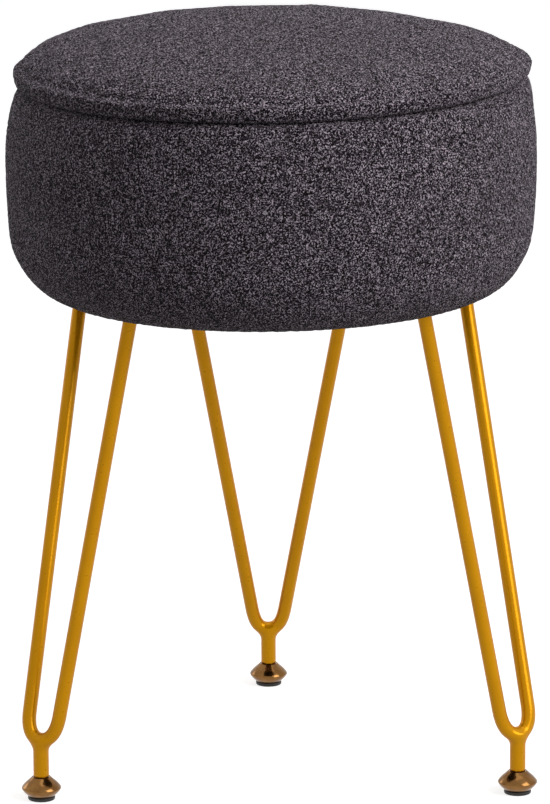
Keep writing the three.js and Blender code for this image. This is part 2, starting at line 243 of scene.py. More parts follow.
@dataclass(frozen=True)
class BoucleKnit(Finish):
    """Bouclé knit: polyester yarn curled into small loops. It is matt, with dark gaps of painted shade and
    pale flecks that are partly painted highlights.

    Its fibres are too fine to show, so loops, flecks and threads are drawn about as coarse as a pixel. Its
    near-white threads are painted highlights.
    """

    name: str = "boucle_knit"
    # Painted shade: the near-black tone that stands for the shade in the gaps between loops
    gap_colour: str = "#040203"
    yarn_colour: str = "#20151e"
    # Partly a pale fleck of the yarn and partly a painted highlight on the loops
    fleck_colour: str = "#86768a"
    # Painted highlight: the near-white glints along the curled threads
    thread_colour: str = "#fff0ff"
    tone_shares: tuple = (0.34, 0.62, 0.95)
    loop_size: float = 0.74 * MM
    fleck_size: float = 0.6 * MM
    thread_size: float = 1.1 * MM
    thread_patch: float = 1.0 * MM
    thread_share: float = 0.08
    thread_patch_shares: tuple = (0.52, 0.55)
    warp_size: float = 1.6 * MM
    # Painted shade between loops and in the low pile, and painted light on the high pile
    between_share: float = 0.75
    between_shade: float = 0.45
    pile_shades: tuple = (0.45, 1.2)
    shade_size: float = 45 * MM
    patch_shades: tuple = (0.9, 1.1)
    yarn_height: float = 0.5 * MM

    def nodes(self, tree: bpy.types.NodeTree, at: Output) -> bpy.types.Node:
        """Loops from a warped cell pattern, with painted shade between loops and where the mesh's pile is
        low.

        The bump's height is a fine noise less the distance to the middle of the nearest loop.
        """
        on = {"Vector": at}
        warp = add_node(tree, "ShaderNodeTexNoise", {"Scale": 1 / self.warp_size, "Detail": 1.0}, on)
        one_loop = {"operation": "SCALE", "Scale": self.loop_size}
        pull = add_node(tree, "ShaderNodeVectorMath", one_loop, {0: (warp, "Color")})
        moved = add_node(tree, "ShaderNodeVectorMath", links={0: at, 1: (pull, 0)})
        loops = add_node(tree, "ShaderNodeTexVoronoi", {"Scale": 1 / self.loop_size}, {"Vector": (moved, 0)})
        yarn = self.yarn(tree, on, loops)
        shade = self.shade(tree, on, loops)
        # The yarn's colour times the painted shade between loops and in the low pile, and the broad tone
        # patches
        yarn_painted_shade = add_node(
            tree,
            "ShaderNodeMix",
            {"data_type": "RGBA", "blend_type": "MULTIPLY", 0: 1.0},
            {MIX_FIRST: (yarn, MIXED), MIX_SECOND: (shade, 0)},
        )
        flecks = add_node(
            tree, "ShaderNodeTexNoise", {"Scale": 1 / self.fleck_size, "Detail": 1.5, "Roughness": 0.6}, on
        )
        heights = add_node(
            tree, "ShaderNodeMath", {"operation": "SUBTRACT"}, {0: (flecks, "Fac"), 1: (loops, "Distance")}
        )
        bump = add_node(
            tree, "ShaderNodeBump", {"Strength": 0.9, "Distance": self.yarn_height}, {"Height": (heights, 0)}
        )
        return add_node(
            tree,
            "ShaderNodeBsdfPrincipled",
            {"Roughness": 0.92, "Specular IOR Level": 0.12, "Sheen Weight": 0.02, "Sheen Roughness": 0.45},
            {"Base Color": (yarn_painted_shade, MIXED), "Normal": (bump, 0)},
        )

    def yarn(self, tree: bpy.types.NodeTree, on: dict, loops: bpy.types.Node) -> bpy.types.Node:
        """The yarn's colour: each loop's own tone, and painted highlights as pale threads where a noise is
        near its middle value.

        Args:
            tree: the material's node tree.
            on: the link that gives a pattern its coordinates.
            loops: the cell pattern, whose colour is random from cell to cell.

        Returns:
            The mix node with the yarn's colour. Another noise keeps the threads' painted highlights to
            patches.
        """
        # The near-black gap tone is painted shade, and the fleck tone is partly a painted highlight
        tones = (self.gap_colour, self.yarn_colour, self.fleck_colour)
        stops = list(zip(self.tone_shares, tones, strict=True))
        tone = add_node(tree, "ShaderNodeValToRGB", {"stops": stops}, {"Fac": (loops, "Color")})
        # Painted highlights: near-white glints along thin curled lines of a noise, kept to patches
        curls = add_node(tree, "ShaderNodeTexNoise", {"Scale": 1 / self.thread_size, "Detail": 1.0}, on)
        near = {"operation": "COMPARE", 1: 0.5, 2: self.thread_share}
        glint_threads = add_node(tree, "ShaderNodeMath", near, {0: (curls, "Fac")})
        where = add_node(tree, "ShaderNodeTexNoise", {"Scale": 1 / self.thread_patch, "Detail": 1.0}, on)
        low, high = self.thread_patch_shares
        patches = {"From Min": low, "From Max": high}
        shown = add_node(tree, "ShaderNodeMapRange", patches, {"Value": (where, "Fac")})
        lit = add_node(tree, "ShaderNodeMath", {"operation": "MULTIPLY"}, {0: (glint_threads, 0), 1: (shown, 0)})
        return add_node(
            tree,
            "ShaderNodeMix",
            {"data_type": "RGBA", MIX_SECOND: self.thread_colour},
            {0: (lit, 0), MIX_FIRST: (tone, "Color")},
        )

    def shade(self, tree: bpy.types.NodeTree, on: dict, loops: bpy.types.Node) -> bpy.types.Node:
        """Painted shade and light on the yarn, and its broad tone: the product of three shares.

        Two are painted shade and light: one falls with the distance to the nearest loop's middle, and one
        rises with the mesh's own pile. The third, the yarn's own tone, changes slowly over the cover.

        Args:
            tree: the material's node tree.
            on: the link that gives a pattern its coordinates.
            loops: the cell pattern.

        Returns:
            The node whose value multiplies the colour.
        """
        # Painted shade: darker away from each loop's middle
        between = add_node(
            tree,
            "ShaderNodeMapRange",
            {"From Max": self.between_share, "To Min": 1.0, "To Max": self.between_shade},
            {"Value": (loops, "Distance")},
        )
        # Painted shade in the low pile, and painted light on the high pile
        pile = add_node(tree, "ShaderNodeAttribute", {"attribute_name": PILE})
        shades = dict(zip(("To Min", "To Max"), self.pile_shades, strict=True))
        depth = add_node(tree, "ShaderNodeMapRange", shades, {"Value": (pile, "Fac")})
        near = add_node(tree, "ShaderNodeMath", {"operation": "MULTIPLY"}, {0: (between, 0), 1: (depth, 0)})
        # The yarn's own broad tone, which differs at random
        broad = add_node(tree, "ShaderNodeTexNoise", {"Scale": 1 / self.shade_size, "Detail": 2.0}, on)
        shades = dict(zip(("To Min", "To Max"), self.patch_shades, strict=True))
        patches = add_node(tree, "ShaderNodeMapRange", shades, {"Value": (broad, "Fac")})
        return add_node(tree, "ShaderNodeMath", {"operation": "MULTIPLY"}, {0: (near, 0), 1: (patches, 0)})


@dataclass(frozen=True)
class PowderCoat(Finish):
    """Powder coat baked on steel: a thick glossy gold paint with a faint orange peel."""

    name: str = "gold_powder_coat"
    light_colour: str = "#dd9a05"
    deep_colour: str = "#c98802"
    gloss_colour: str = "#ffc65a"
    peel_size: float = 1.6 * MM
    peel_height: float = 0.02 * MM
    peel_roughness: tuple = (0.24, 0.36)
    patch_size: float = 30 * MM

    def nodes(self, tree: bpy.types.NodeTree, at: Output) -> bpy.types.Node:
        """Broad changes of depth in the colour, and an orange peel in the gloss, both from noises."""
        colours = (self.light_colour, self.deep_colour)
        _, colour = patchy(tree, at, self.patch_size, colours, detail=3.0)
        fine = {"Scale": 1 / self.peel_size, "Detail": 1.0}
        peel = add_node(tree, "ShaderNodeTexNoise", fine, {"Vector": at})
        raised = {"Strength": 0.6, "Distance": self.peel_height}
        bump = add_node(tree, "ShaderNodeBump", raised, {"Height": (peel, "Fac")})
        low, high = self.peel_roughness
        rough = add_node(
            tree, "ShaderNodeMapRange", {"To Min": low, "To Max": high}, {"Value": (peel, "Fac")}
        )
        gloss = {"Specular Tint": self.gloss_colour, "Coat Weight": 0.04, "Coat Roughness": 0.12}
        return add_node(
            tree,
            "ShaderNodeBsdfPrincipled",
            {"Metallic": 0.35} | gloss,
            {"Base Color": colour, "Roughness": (rough, 0), "Normal": (bump, 0)},
        )


@dataclass(frozen=True)
class AntiqueBrass(Finish):
    """Turned steel plated antique brass and polished: sharp reflections, and rings left by the lathe."""

    name: str = "antique_brass_plate"
    bright_colour: str = "#977041"
    aged_colour: str = "#5f3d1f"
    ring_spacing: float = 2.83 * MM
    ring_height: float = 0.008 * MM
    patch_size: float = 6 * MM

    def nodes(self, tree: bpy.types.NodeTree, at: Output) -> bpy.types.Node:
        """Aged patches in the plate from a noise, and rings along the height from a sine wave."""
        _, colour = patchy(tree, at, self.patch_size, (self.bright_colour, self.aged_colour), detail=3.0)
        rings = add_node(
            tree,
            "ShaderNodeTexWave",
            {"wave_type": "BANDS", "bands_direction": "Z", "Scale": TURN / (WAVE_RATE * self.ring_spacing)},
            {"Vector": at},
        )
        raised = {"Strength": 0.5, "Distance": self.ring_height}
        bump = add_node(tree, "ShaderNodeBump", raised, {"Height": (rings, "Fac")})
        links = {"Base Color": colour, "Normal": (bump, 0)}
        return add_node(tree, "ShaderNodeBsdfPrincipled", {"Metallic": 1.0, "Roughness": 0.16}, links)


@dataclass(frozen=True)
class MouldedPlastic(Finish):
    """Polyethylene moulded in a spark-eroded tool: black and matt, with a fine even grain."""

    name: str = "moulded_polyethylene"
    colour: str = "#141210"
    scuffed_colour: str = "#242120"
    grain_size: float = 0.5 * MM
    grain_height: float = 0.03 * MM

    def nodes(self, tree: bpy.types.NodeTree, at: Output) -> bpy.types.Node:
        """One dark colour, scuffed a little paler where the tool's grain, a noise, is high."""
        grain, colour = patchy(tree, at, self.grain_size, (self.colour, self.scuffed_colour), detail=2.0)
        bump = add_node(tree, "ShaderNodeBump", {"Distance": self.grain_height}, {"Height": (grain, "Fac")})
        links = {"Base Color": colour, "Normal": (bump, 0)}
        return add_node(tree, "ShaderNodeBsdfPrincipled", {"Roughness": 0.55}, links)


@dataclass(frozen=True)
class ZincPlate(Finish):
    """Steel plated with bright zinc: a cool grey metal with cloudy patches."""

    name: str = "bright_zinc_plate"
    light_colour: str = "#c8ccd2"
    dull_colour: str = "#a6a9a8"
    patch_size: float = 2.5 * MM
    patch_roughness: tuple = (0.22, 0.42)

    def nodes(self, tree: bpy.types.NodeTree, at: Output) -> bpy.types.Node:
        """Cloudy patches from one noise, in both the colour and the gloss."""
        patches, colour = patchy(tree, at, self.patch_size, (self.light_colour, self.dull_colour), detail=3.0)
        low, high = self.patch_roughness
        rough = add_node(
            tree, "ShaderNodeMapRange", {"To Min": low, "To Max": high}, {"Value": (patches, "Fac")}
        )
        links = {"Base Color": colour, "Roughness": (rough, 0)}
        return add_node(tree, "ShaderNodeBsdfPrincipled", {"Metallic": 1.0}, links)


@dataclass(frozen=True)
class FibreBoard(Finish):
    """Raw medium-density fibreboard: a brown felt of short wood fibres, matt and slightly furry."""

    name: str = "raw_fibreboard"
    light_colour: str = "#b8946a"
    dark_colour: str = "#8f6d48"
    fibre_size: float = 0.8 * MM
    fibre_height: float = 0.05 * MM
    fibre_shares: tuple = (1, 0.4, 2)

    def nodes(self, tree: bpy.types.NodeTree, at: Output) -> bpy.types.Node:
        """Short fibres, darker and paler, from a noise that is drawn out along the board."""
        flat = add_node(tree, "ShaderNodeMapping", {"Scale": self.fibre_shares}, {"Vector": at})
        colours = (self.light_colour, self.dark_colour)
        fibres, colour = patchy(tree, (flat, 0), self.fibre_size, colours, detail=4.0, roughness=0.7)
        bump = add_node(tree, "ShaderNodeBump", {"Distance": self.fibre_height}, {"Height": (fibres, "Fac")})
        return add_node(
            tree,
            "ShaderNodeBsdfPrincipled",
            {"Roughness": 0.85, "Specular IOR Level": 0.3},
            {"Base Color": colour, "Normal": (bump, 0)},
        )


@dataclass(frozen=True)
class BentPlywood(Finish):
    """Poplar plywood bent to a tube: pale, with long soft grain round the tube."""

    name: str = "bent_poplar_plywood"
    light_colour: str = "#d9bd8c"
    dark_colour: str = "#b8935f"
    grain_width: float = 2.2 * MM
    grain_shares: tuple = (0.08, 0.08, 1)

    def nodes(self, tree: bpy.types.NodeTree, at: Output) -> bpy.types.Node:
        """Grain from a noise that is drawn out along the sheet, with darker late wood."""
        along = add_node(tree, "ShaderNodeMapping", {"Scale": self.grain_shares}, {"Vector": at})
        colours = (self.light_colour, self.dark_colour)
        _, colour = patchy(tree, (along, 0), self.grain_width, colours, detail=5.0, roughness=0.6)
        return add_node(tree, "ShaderNodeBsdfPrincipled", {"Roughness": 0.7}, {"Base Color": colour})


@dataclass(frozen=True)
class SpunbondCloth(Finish):
    """Spunbond polypropylene, bonded in a grid of small points: a thin black cloth with a dull shine."""

    name: str = "spunbond_polypropylene"
    colour: str = "#17171a"
    point_colour: str = "#2e2e33"
    point_spacing: float = 1.8 * MM
    point_depth: float = 0.12 * MM
    point_shares: tuple = (0.2, 0.34)

    def nodes(self, tree: bpy.types.NodeTree, at: Output) -> bpy.types.Node:
        """Bonding points in even rows of cells, and loose fibres, a fine noise, between them."""
        points = add_node(
            tree, "ShaderNodeTexVoronoi", {"Scale": 1 / self.point_spacing, "Randomness": 0.0}, {"Vector": at}
        )
        fibres = add_node(
            tree, "ShaderNodeTexNoise", {"Scale": 3 / self.point_spacing, "Detail": 4.0}, {"Vector": at}
        )
        low, high = self.point_shares
        bonded = add_node(
            tree, "ShaderNodeMapRange", {"From Min": low, "From Max": high}, {"Value": (points, "Distance")}
        )
        fuzzy = add_node(
            tree, "ShaderNodeMath", {"operation": "MULTIPLY"}, {0: (bonded, 0), 1: (fibres, "Fac")}
        )
        colours = {"data_type": "RGBA", MIX_FIRST: self.point_colour, MIX_SECOND: self.colour}
        colour = add_node(tree, "ShaderNodeMix", colours, {0: (fuzzy, 0)})
        bump = add_node(tree, "ShaderNodeBump", {"Distance": self.point_depth}, {"Height": (fuzzy, 0)})
        return add_node(
            tree,
            "ShaderNodeBsdfPrincipled",
            {"Roughness": 0.75, "Sheen Weight": 0.1},
            {"Base Color": (colour, MIXED), "Normal": (bump, 0)},
        )


def seen_rays(tree: bpy.types.NodeTree) -> Output:
    """1 for rays from the camera and through glass or off metal, and 0 for those that light the object."""
    path = add_node(tree, "ShaderNodeLightPath")
    seen = (path, "Is Camera Ray")
    for other in ("Is Glossy Ray", "Is Transmission Ray"):
        seen = (add_node(tree, "ShaderNodeMath", {"operation": "MAXIMUM"}, {0: seen, 1: (path, other)}), 0)
    return seen


@dataclass(frozen=True)
class WhitePaper(Finish):
    """A sweep of matt white paper: it looks white, keeps the shadow, and throws back only a little light."""

    name: str = "white_paper_sweep"
    seen_colour: str = "#d8d8d8"
    glow: float = 0.78
    lit_colour: str = "#8c8c8c"

    def nodes(self, tree: bpy.types.NodeTree, at: Output) -> bpy.types.Node:
        """A pale colour plus a glow for the rays that are seen, and a duller colour for the rest."""
        shaded = add_node(tree, "ShaderNodeBsdfDiffuse", {"Color": self.seen_colour})
        glow = add_node(tree, "ShaderNodeEmission", {"Color": "#ffffff", "Strength": self.glow})
        white = add_node(tree, "ShaderNodeAddShader", links={0: (shaded, 0), 1: (glow, 0)})
        dull = add_node(tree, "ShaderNodeBsdfDiffuse", {"Color": self.lit_colour})
        return add_node(tree, "ShaderNodeMixShader", links={0: seen_rays(tree), 1: (dull, 0), 2: (white, 0)})


# Surfaces


@dataclass
class Surface:
    """A surface as arrays: points (n, 3), faces (m, 4) and their corners' places on a flat map (m, 4, 2)."""

    points: Array
    faces: Array
    flat: Array | None = None

    def joined(self, *others: Surface) -> Surface:
        """This surface and others as one, with their points one after another."""
        every = (self, *others)
        starts = np.cumsum([0] + [len(s.points) for s in every])
        flats = [s.flat for s in every]
        return Surface(
            np.concatenate([s.points for s in every]),
            np.concatenate([s.faces + start for s, start in zip(every, starts[:-1], strict=True)]),
            None if any(f is None for f in flats) else np.concatenate(flats),
        )

    def flipped(self) -> Surface:
        """The same surface with its faces pointing the other way."""
        return Surface(self.points, self.faces[:, ::-1], None if self.flat is None else self.flat[:, ::-1])

    def mesh(self, name: str) -> bpy.types.Mesh:
        """The surface as a mesh, its equal points merged and its flattened corners and faces left out.

        Args:
            name: the mesh's name.

        Returns:
            A smooth-shaded mesh.
        """
        _, first, same = np.unique(merge_keys(self.points), axis=0, return_index=True, return_inverse=True)
        faces = same.reshape(-1)[self.faces]
        kept = faces != np.roll(faces, 1, axis=1)
        whole = kept.sum(1) > 2
        faces, kept = faces[whole], kept[whole]
        mesh = bpy.data.meshes.new(name)
        mesh.vertices.add(len(first))
        mesh.vertices.foreach_set("co", self.points[first].astype(np.float32).ravel())
        corners = faces[kept]
        mesh.loops.add(len(corners))
        mesh.loops.foreach_set("vertex_index", corners.astype(np.int32))
        counts = kept.sum(1)
        mesh.polygons.add(len(counts))
        mesh.polygons.foreach_set("loop_start", (np.cumsum(counts) - counts).astype(np.int32))
        mesh.polygons.foreach_set("use_smooth", np.ones(len(counts), bool))
        if self.flat is not None:
            layer = mesh.uv_layers.new(name=FLAT_MAP)
            layer.uv.foreach_set("vector", self.flat[whole][kept].astype(np.float32).ravel())
        mesh.update(calc_edges=True)
        mesh.validate()
        return mesh


def merge_keys(points: Array) -> Array:
    """Whole numbers (n, 3) that are equal for points that count as one."""
    return np.round(points / MERGED).astype(np.int64)


def grid_faces(number: Array) -> Array:
    """The faces (m, 4) between each four neighbours of a grid of point numbers (rows, columns)."""
    corners = [number[:-1, :-1], number[:-1, 1:], number[1:, 1:], number[1:, :-1]]
    return np.stack(corners, axis=-1).reshape(-1, 4)


def grid_surface(grid: Array, flat: Array | None = None) -> Surface:
    """The surface of a grid of points.

    Args:
        grid: points (rows, columns, 3). A closed direction repeats its first row or column at its end.
        flat: places of the same points on a flat map, (rows, columns, 2).

    Returns:
        One four-sided face between each four neighbours, facing the side from which rows run up while
        columns run to the right.
    """
    faces = grid_faces(np.arange(grid[..., 0].size).reshape(grid.shape[:2]))
    spread = None if flat is None else flat.reshape(-1, 2)[faces]
    return Surface(grid.reshape(-1, 3), faces, spread)


def turn_directions(columns: int) -> Array:
    """Unit (x, y) directions at even angles round one turn, (columns + 1, 2), the last equal to the first."""
    angle = np.linspace(0, TURN, columns + 1)
    angle[-1] = 0
    return np.stack([np.cos(angle), np.sin(angle)], axis=-1)


def turned(line: Array, columns: int, centre: Array) -> Array:
    """A line of (radius, height) turned about a vertical axis.

    Args:
        line: (n, 2) radii and heights, from below upwards on an outer side.
        columns: how many steps one turn takes.
        centre: the axis's (x, y).

    Returns:
        A grid of points (n, columns + 1, 3): the radius times each direction round the axis.
    """
    flat = centre + line[:, None, :1] * turn_directions(columns)[None]
    height = np.broadcast_to(line[:, None, 1:], (*flat.shape[:2], 1))
    return np.concatenate([flat, height], axis=-1)


def arc(centre: tuple[float, float], radius: float, start: float, end: float, steps: int) -> Array:
    """Points on a circle's arc: the centre plus the radius at evenly spaced angles, in degrees."""
    angle = np.radians(np.linspace(start, end, steps + 1))
    return np.array(centre) + radius * np.stack([np.cos(angle), np.sin(angle)], axis=-1)


def curve_through(controls: Array, steps: int) -> Array:
    """A smooth line through points, the same uniform cubic that the solids' outlines follow.

    Between two points it is the cubic whose slope at each is half the way between that point's neighbours.

    Args:
        controls: (n, k) points that the line passes.
        steps: steps between one point and the next.

    Returns:
        The line's points, ((n - 1) * steps + 1, k).
    """
    padded = np.concatenate([controls[:1], controls, controls[-1:]])
    p0, p1, p2, p3 = (padded[i : len(controls) - 1 + i, None] for i in range(4))
    t = np.linspace(0, 1, steps, endpoint=False)[None, :, None]
    slope1, slope2 = (p2 - p0) / 2, (p3 - p1) / 2
    cubic = 2 * p1 - 2 * p2 + slope1 + slope2
    square = 3 * p2 - 3 * p1 - 2 * slope1 - slope2
    found = cubic * t**3 + square * t**2 + slope1 * t + p1
    return np.concatenate([found.reshape(-1, controls.shape[1]), controls[-1:]])


def line_lengths(line: Array) -> Array:
    """The length along a line up to each of its points."""
    return np.concatenate([[0], np.cumsum(np.linalg.norm(np.diff(line, axis=0), axis=1))])


def even_steps(line: Array, spacing: float) -> Array:
    """The line's points again, at even steps of about the spacing along its length."""
    along = line_lengths(line)
    count = max(1, round(along[-1] / spacing))
    places = np.linspace(0, along[-1], count + 1)
    return np.stack([np.interp(places, along, column) for column in line.T], axis=-1)


def smooth_rise(value: Array, low: float, high: float) -> Array:
    """0 below low and 1 above high, rising smoothly between them by 3t² - 2t³."""
    t = np.clip((value - low) / (high - low), 0, 1)
    return t * t * (3 - 2 * t)


@dataclass(frozen=True)
class Lean:
    """How unevenly the padding was pulled: the covers sit a little higher at +X and a little thicker at -X.

    Near the seam between drum and lid, both covers' outer edges dip further, most at -X.
    """

    at_rim: float = 1.1 * MM
    at_base: float = 1.4 * MM
    at_crown: float = 0.0
    sideways: float = -1.0 * MM
    inner_radius: float = 145 * MM
    reach: float = 165 * MM
    base_height: float = 330 * MM
    rim_height: float = 450 * MM
    crown_height: float = 482 * MM
    shift_end: float = 425 * MM
    dip: float = 0.8 * MM
    dip_tilt: float = 2.0 * MM
    dip_inner: float = 148 * MM
    dip_outer: float = 163 * MM
    dip_low: float = 400 * MM
    dip_high: float = 458 * MM
    dip_end: float = 474 * MM

    def raised(self, grid: Array, centre: Array) -> Array:
        """The grid with its points raised and moved sideways.

        Args:
            grid: points (rows, columns, 3).
            centre: the seat's axis (x, y).

        Returns:
            The grid again. The rise is the share of the way to +X times a height that changes from base to
            rim to crown. Near the seam the dip's own tilt is added and the dip taken off. Only outer points
            below the rim move sideways.
        """
        height = grid[..., 2]
        away = np.hypot(grid[..., 0] - centre[0], grid[..., 1] - centre[1])
        towards = (grid[..., 0] - centre[0]) / self.reach
        level = smooth_rise(height, self.base_height, self.rim_height)
        crown = smooth_rise(height, self.rim_height, self.crown_height)
        tilt = self.at_base + (self.at_rim - self.at_base) * level + (self.at_crown - self.at_rim) * crown
        near = smooth_rise(height, self.dip_low, self.rim_height)
        near = near * smooth_rise(height, self.dip_end, self.dip_high)
        near = near * smooth_rise(away, self.dip_inner, self.dip_outer)
        rise = towards * tilt + near * (self.dip_tilt * towards - self.dip)
        shift = self.sideways * smooth_rise(away, self.inner_radius, self.reach)
        shift = shift * smooth_rise(height, self.rim_height, self.shift_end)
        return np.stack([grid[..., 0] + shift, grid[..., 1], height + rise], axis=-1)


def lattice_values(cells: Array, seed: int, count: int) -> Array:
    """Random numbers for the cells of a lattice, always the same for the same cell.

    Each number is a mix of the cell's three whole-number coordinates by large odd factors and shifts.

    Args:
        cells: whole-number coordinates (n, 3).
        seed: picks another set of numbers.
        count: how many numbers each cell gets.

    Returns:
        Numbers from 0 to 1, (n, count).
    """
    cell_factors = np.array([0x9E3779B185EBCA87, 0xC2B2AE3D27D4EB4F, 0x165667B19E3779F9], np.uint64)
    order_factor, mixing_factor = np.uint64(0xD6E8FEB86659FD93), np.uint64(0xBF58476D1CE4E5B9)
    seed_factor, mixing_shifts = 7919, (32, 29, 32)
    whole_bits, kept_bits = 64, 53
    with np.errstate(over="ignore"):
        mixed_up = (cells.astype(np.int64).view(np.uint64) * cell_factors).sum(1, dtype=np.uint64)
        order = np.arange(count, dtype=np.uint64)[None] * order_factor
        found = mixed_up[:, None] + order + np.uint64(seed * seed_factor)
        for shift in mixing_shifts:
            found = (found ^ (found >> np.uint64(shift))) * mixing_factor
    return (found >> np.uint64(whole_bits - kept_bits)).astype(np.float64) / float(1 << kept_bits)


def value_noise(points: Array, size: float, seed: int) -> Array:
    """Smooth noise from -1 to 1: random values at a lattice's corners, blended by 3t² - 2t³."""
    place = points / size
    cell = np.floor(place).astype(np.int64)
    t = place - cell
    t = t * t * (3 - 2 * t)
    total = np.zeros(len(points))
    for corner in np.ndindex(2, 2, 2):
        share = np.prod(np.where(np.array(corner) == 1, t, 1 - t), axis=1)
        total += share * lattice_values(cell + corner, seed, 1)[:, 0]
    return 2 * total - 1


def grid_normals(grid: Array, wrapped: bool) -> Array:
    """Unit normals of a grid of points: the cross product of the steps along its row and its column."""
    down = np.gradient(grid, axis=0)
    if wrapped:
        ring = grid[:, :-1]
        across = np.roll(ring, -1, axis=1) - np.roll(ring, 1, axis=1)
        across = np.concatenate([across, across[:, :1]], axis=1)
    else:
        across = np.gradient(grid, axis=1)
    normal = np.cross(across, down)
    return normal / np.maximum(np.linalg.norm(normal, axis=-1, keepdims=True), TINY * MM)


# Pieces


def linked(name: str, data: bpy.types.ID) -> bpy.types.Object:
    """A new object with the data, linked to the scene."""
    made = bpy.data.objects.new(name, data)
    bpy.context.scene.collection.objects.link(made)
    return made


def mesh_points(mesh: bpy.types.Mesh) -> Array:
    """A mesh's points, (n, 3)."""
    points = np.empty(len(mesh.vertices) * 3, np.float32)
    mesh.vertices.foreach_get("co", points)
    return points.reshape(-1, 3).astype(float)


def settled(piece: bpy.types.Object) -> bpy.types.Mesh:
    """Gives a piece the mesh that its modifiers make, takes the modifiers off and returns that mesh."""
    made = bpy.data.meshes.new_from_object(piece.evaluated_get(bpy.context.evaluated_depsgraph_get()))
    piece.modifiers.clear()
    piece.data = made
    return made


def new_piece(name: str, mesh: bpy.types.Mesh, finish: Finish) -> bpy.types.Object:
    """Links a mesh to the scene as an object at the origin.

    Args:
        name: the piece's name.
        mesh: its mesh, in place.
        finish: its finish.

    Returns:
        The object.
    """
    mesh.materials.append(finish.material())
    return linked(name, mesh)


def place_piece(piece: bpy.types.Object, body: str, replaced: Iterable[str] = ()) -> None:
    """Sets what a piece rides on, and hides the solids that it stands for.

    Args:
        piece: the finished piece.
        body: the body that carries it.
        replaced: names of the solids that it replaces.
    """
    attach(piece, body)
    if replaced:
        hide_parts(*replaced)
    log.info("%s rides on %s, %d faces", piece.name, body, len(piece.data.polygons))


def lathe_piece(
    name: str,
    line: Array,
    columns: int,
    centre: Array,
    finish: Finish,
    sharp: float = 35.0,
) -> bpy.types.Object:
    """A solid of revolution as a piece.

    Args:
        name: the piece's name.
        line: (radius, height) points, closed or with both ends on the axis, with the solid on the left.
        columns: steps in a turn.
        centre: the axis's (x, y).
        finish: its finish.
        sharp: edges that turn by more than this many degrees are shaded sharp.

    Returns:
        The piece.
    """
    mesh = grid_surface(turned(line, columns, centre)).mesh(name)
    mesh.set_sharp_from_angle(angle=math.radians(sharp))
    return new_piece(name, mesh, finish)


def box_middle(node: str) -> Array:
    """The (x, y) of the middle of a solid's box."""
    low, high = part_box(node)
    return np.array([(low.x + high.x) / 2, (low.y + high.y) / 2])


@dataclass
class ClothRun:
    """A short cloth simulation that lets a padded cover swell and crease a little on its padding."""

    frames: int = 20
    pressure: float = 4.0
    slack: float = 0.02
    bending: float = 0.6
    tension: float = 12.0
    quality: int = 6
    mass: float = 0.35
    ripple_height: float = 0.4 * MM
    ripple_size: float = 34 * MM
    ripple_seed: int = 5
    cap: float = 1.2 * MM

    def creases(self, grid: Array, held: Array, wrapped: bool) -> Array:
        """The creases of a cover: the end of a run from a rippled start, less that from an even start.

        The swelling that both share drops out, so that the cover keeps its mean form.

        Args:
            grid: points (rows, columns, 3), the last column equal to the first where wrapped.
            held: (rows, columns) from 0, free, to 1, fixed.
            wrapped: whether the columns close on themselves.

        Returns:
            How far each point moves, (rows, columns, 3), by no more than the cap.
        """
        ripple = value_noise(grid.reshape(-1, 3), self.ripple_size, self.ripple_seed).reshape(grid.shape[:2])
        uneven = grid + grid_normals(grid, wrapped) * (self.ripple_height * ripple * (1 - held))[..., None]
        if wrapped:
            uneven[:, -1] = uneven[:, 0]
        moved = self.ends(uneven, held, wrapped) - self.ends(grid, held, wrapped)
        length = np.linalg.norm(moved, axis=-1, keepdims=True)
        moved = moved * np.minimum(1, self.cap / np.maximum(length, TINY))
        return calmed(calmed(moved, 0, False), 1, wrapped)

    def ends(self, grid: Array, held: Array, wrapped: bool) -> Array:
        """Runs the simulation on a coarse grid of the cover.

        Args:
            grid: points (rows, columns, 3), the last column equal to the first where wrapped.
            held: (rows, columns) from 0, free, to 1, fixed.
            wrapped: whether the columns close on themselves.

        Returns:
            Where each point ends, (rows, columns, 3).
        """
        ring = grid[:, :-1] if wrapped else grid
        rows, columns = ring.shape[:2]
        number = np.arange(rows * columns).reshape(rows, columns)
        closed = np.concatenate([number, number[:, :1]], axis=1) if wrapped else number
        mesh = bpy.data.meshes.new("cloth_run")
        mesh.from_pydata(ring.reshape(-1, 3).tolist(), [], grid_faces(closed).tolist())
        cover = linked("cloth_run", mesh)
        group = cover.vertex_groups.new(name="held")
        weights = np.round((held[:, :-1] if wrapped else held).ravel(), 2)
        for level in np.unique(weights):
            group.add(np.flatnonzero(weights == level).tolist(), float(level), "REPLACE")
        cloth = cover.modifiers.new("cloth", "CLOTH")
        settings = cloth.settings
        settings.quality = self.quality
        settings.mass = self.mass
        settings.tension_stiffness = settings.compression_stiffness = self.tension
        settings.shear_stiffness = self.tension / 2
        settings.bending_stiffness = self.bending
        settings.use_pressure = True
        settings.uniform_pressure_force = self.pressure
        settings.shrink_min = -self.slack
        settings.vertex_group_mass = group.name
        settings.effector_weights.gravity = 0
        cloth.point_cache.frame_start, cloth.point_cache.frame_end = 1, self.frames
        scene = bpy.context.scene
        for frame in range(1, self.frames + 1):
            scene.frame_set(frame)
        after = mesh_points(cover.evaluated_get(bpy.context.evaluated_depsgraph_get()).data)
        scene.frame_set(1)
        bpy.data.objects.remove(cover)
        bpy.data.meshes.remove(mesh)
        after = after.reshape(rows, columns, 3)
        return np.concatenate([after, after[:, :1]], axis=1) if wrapped else after


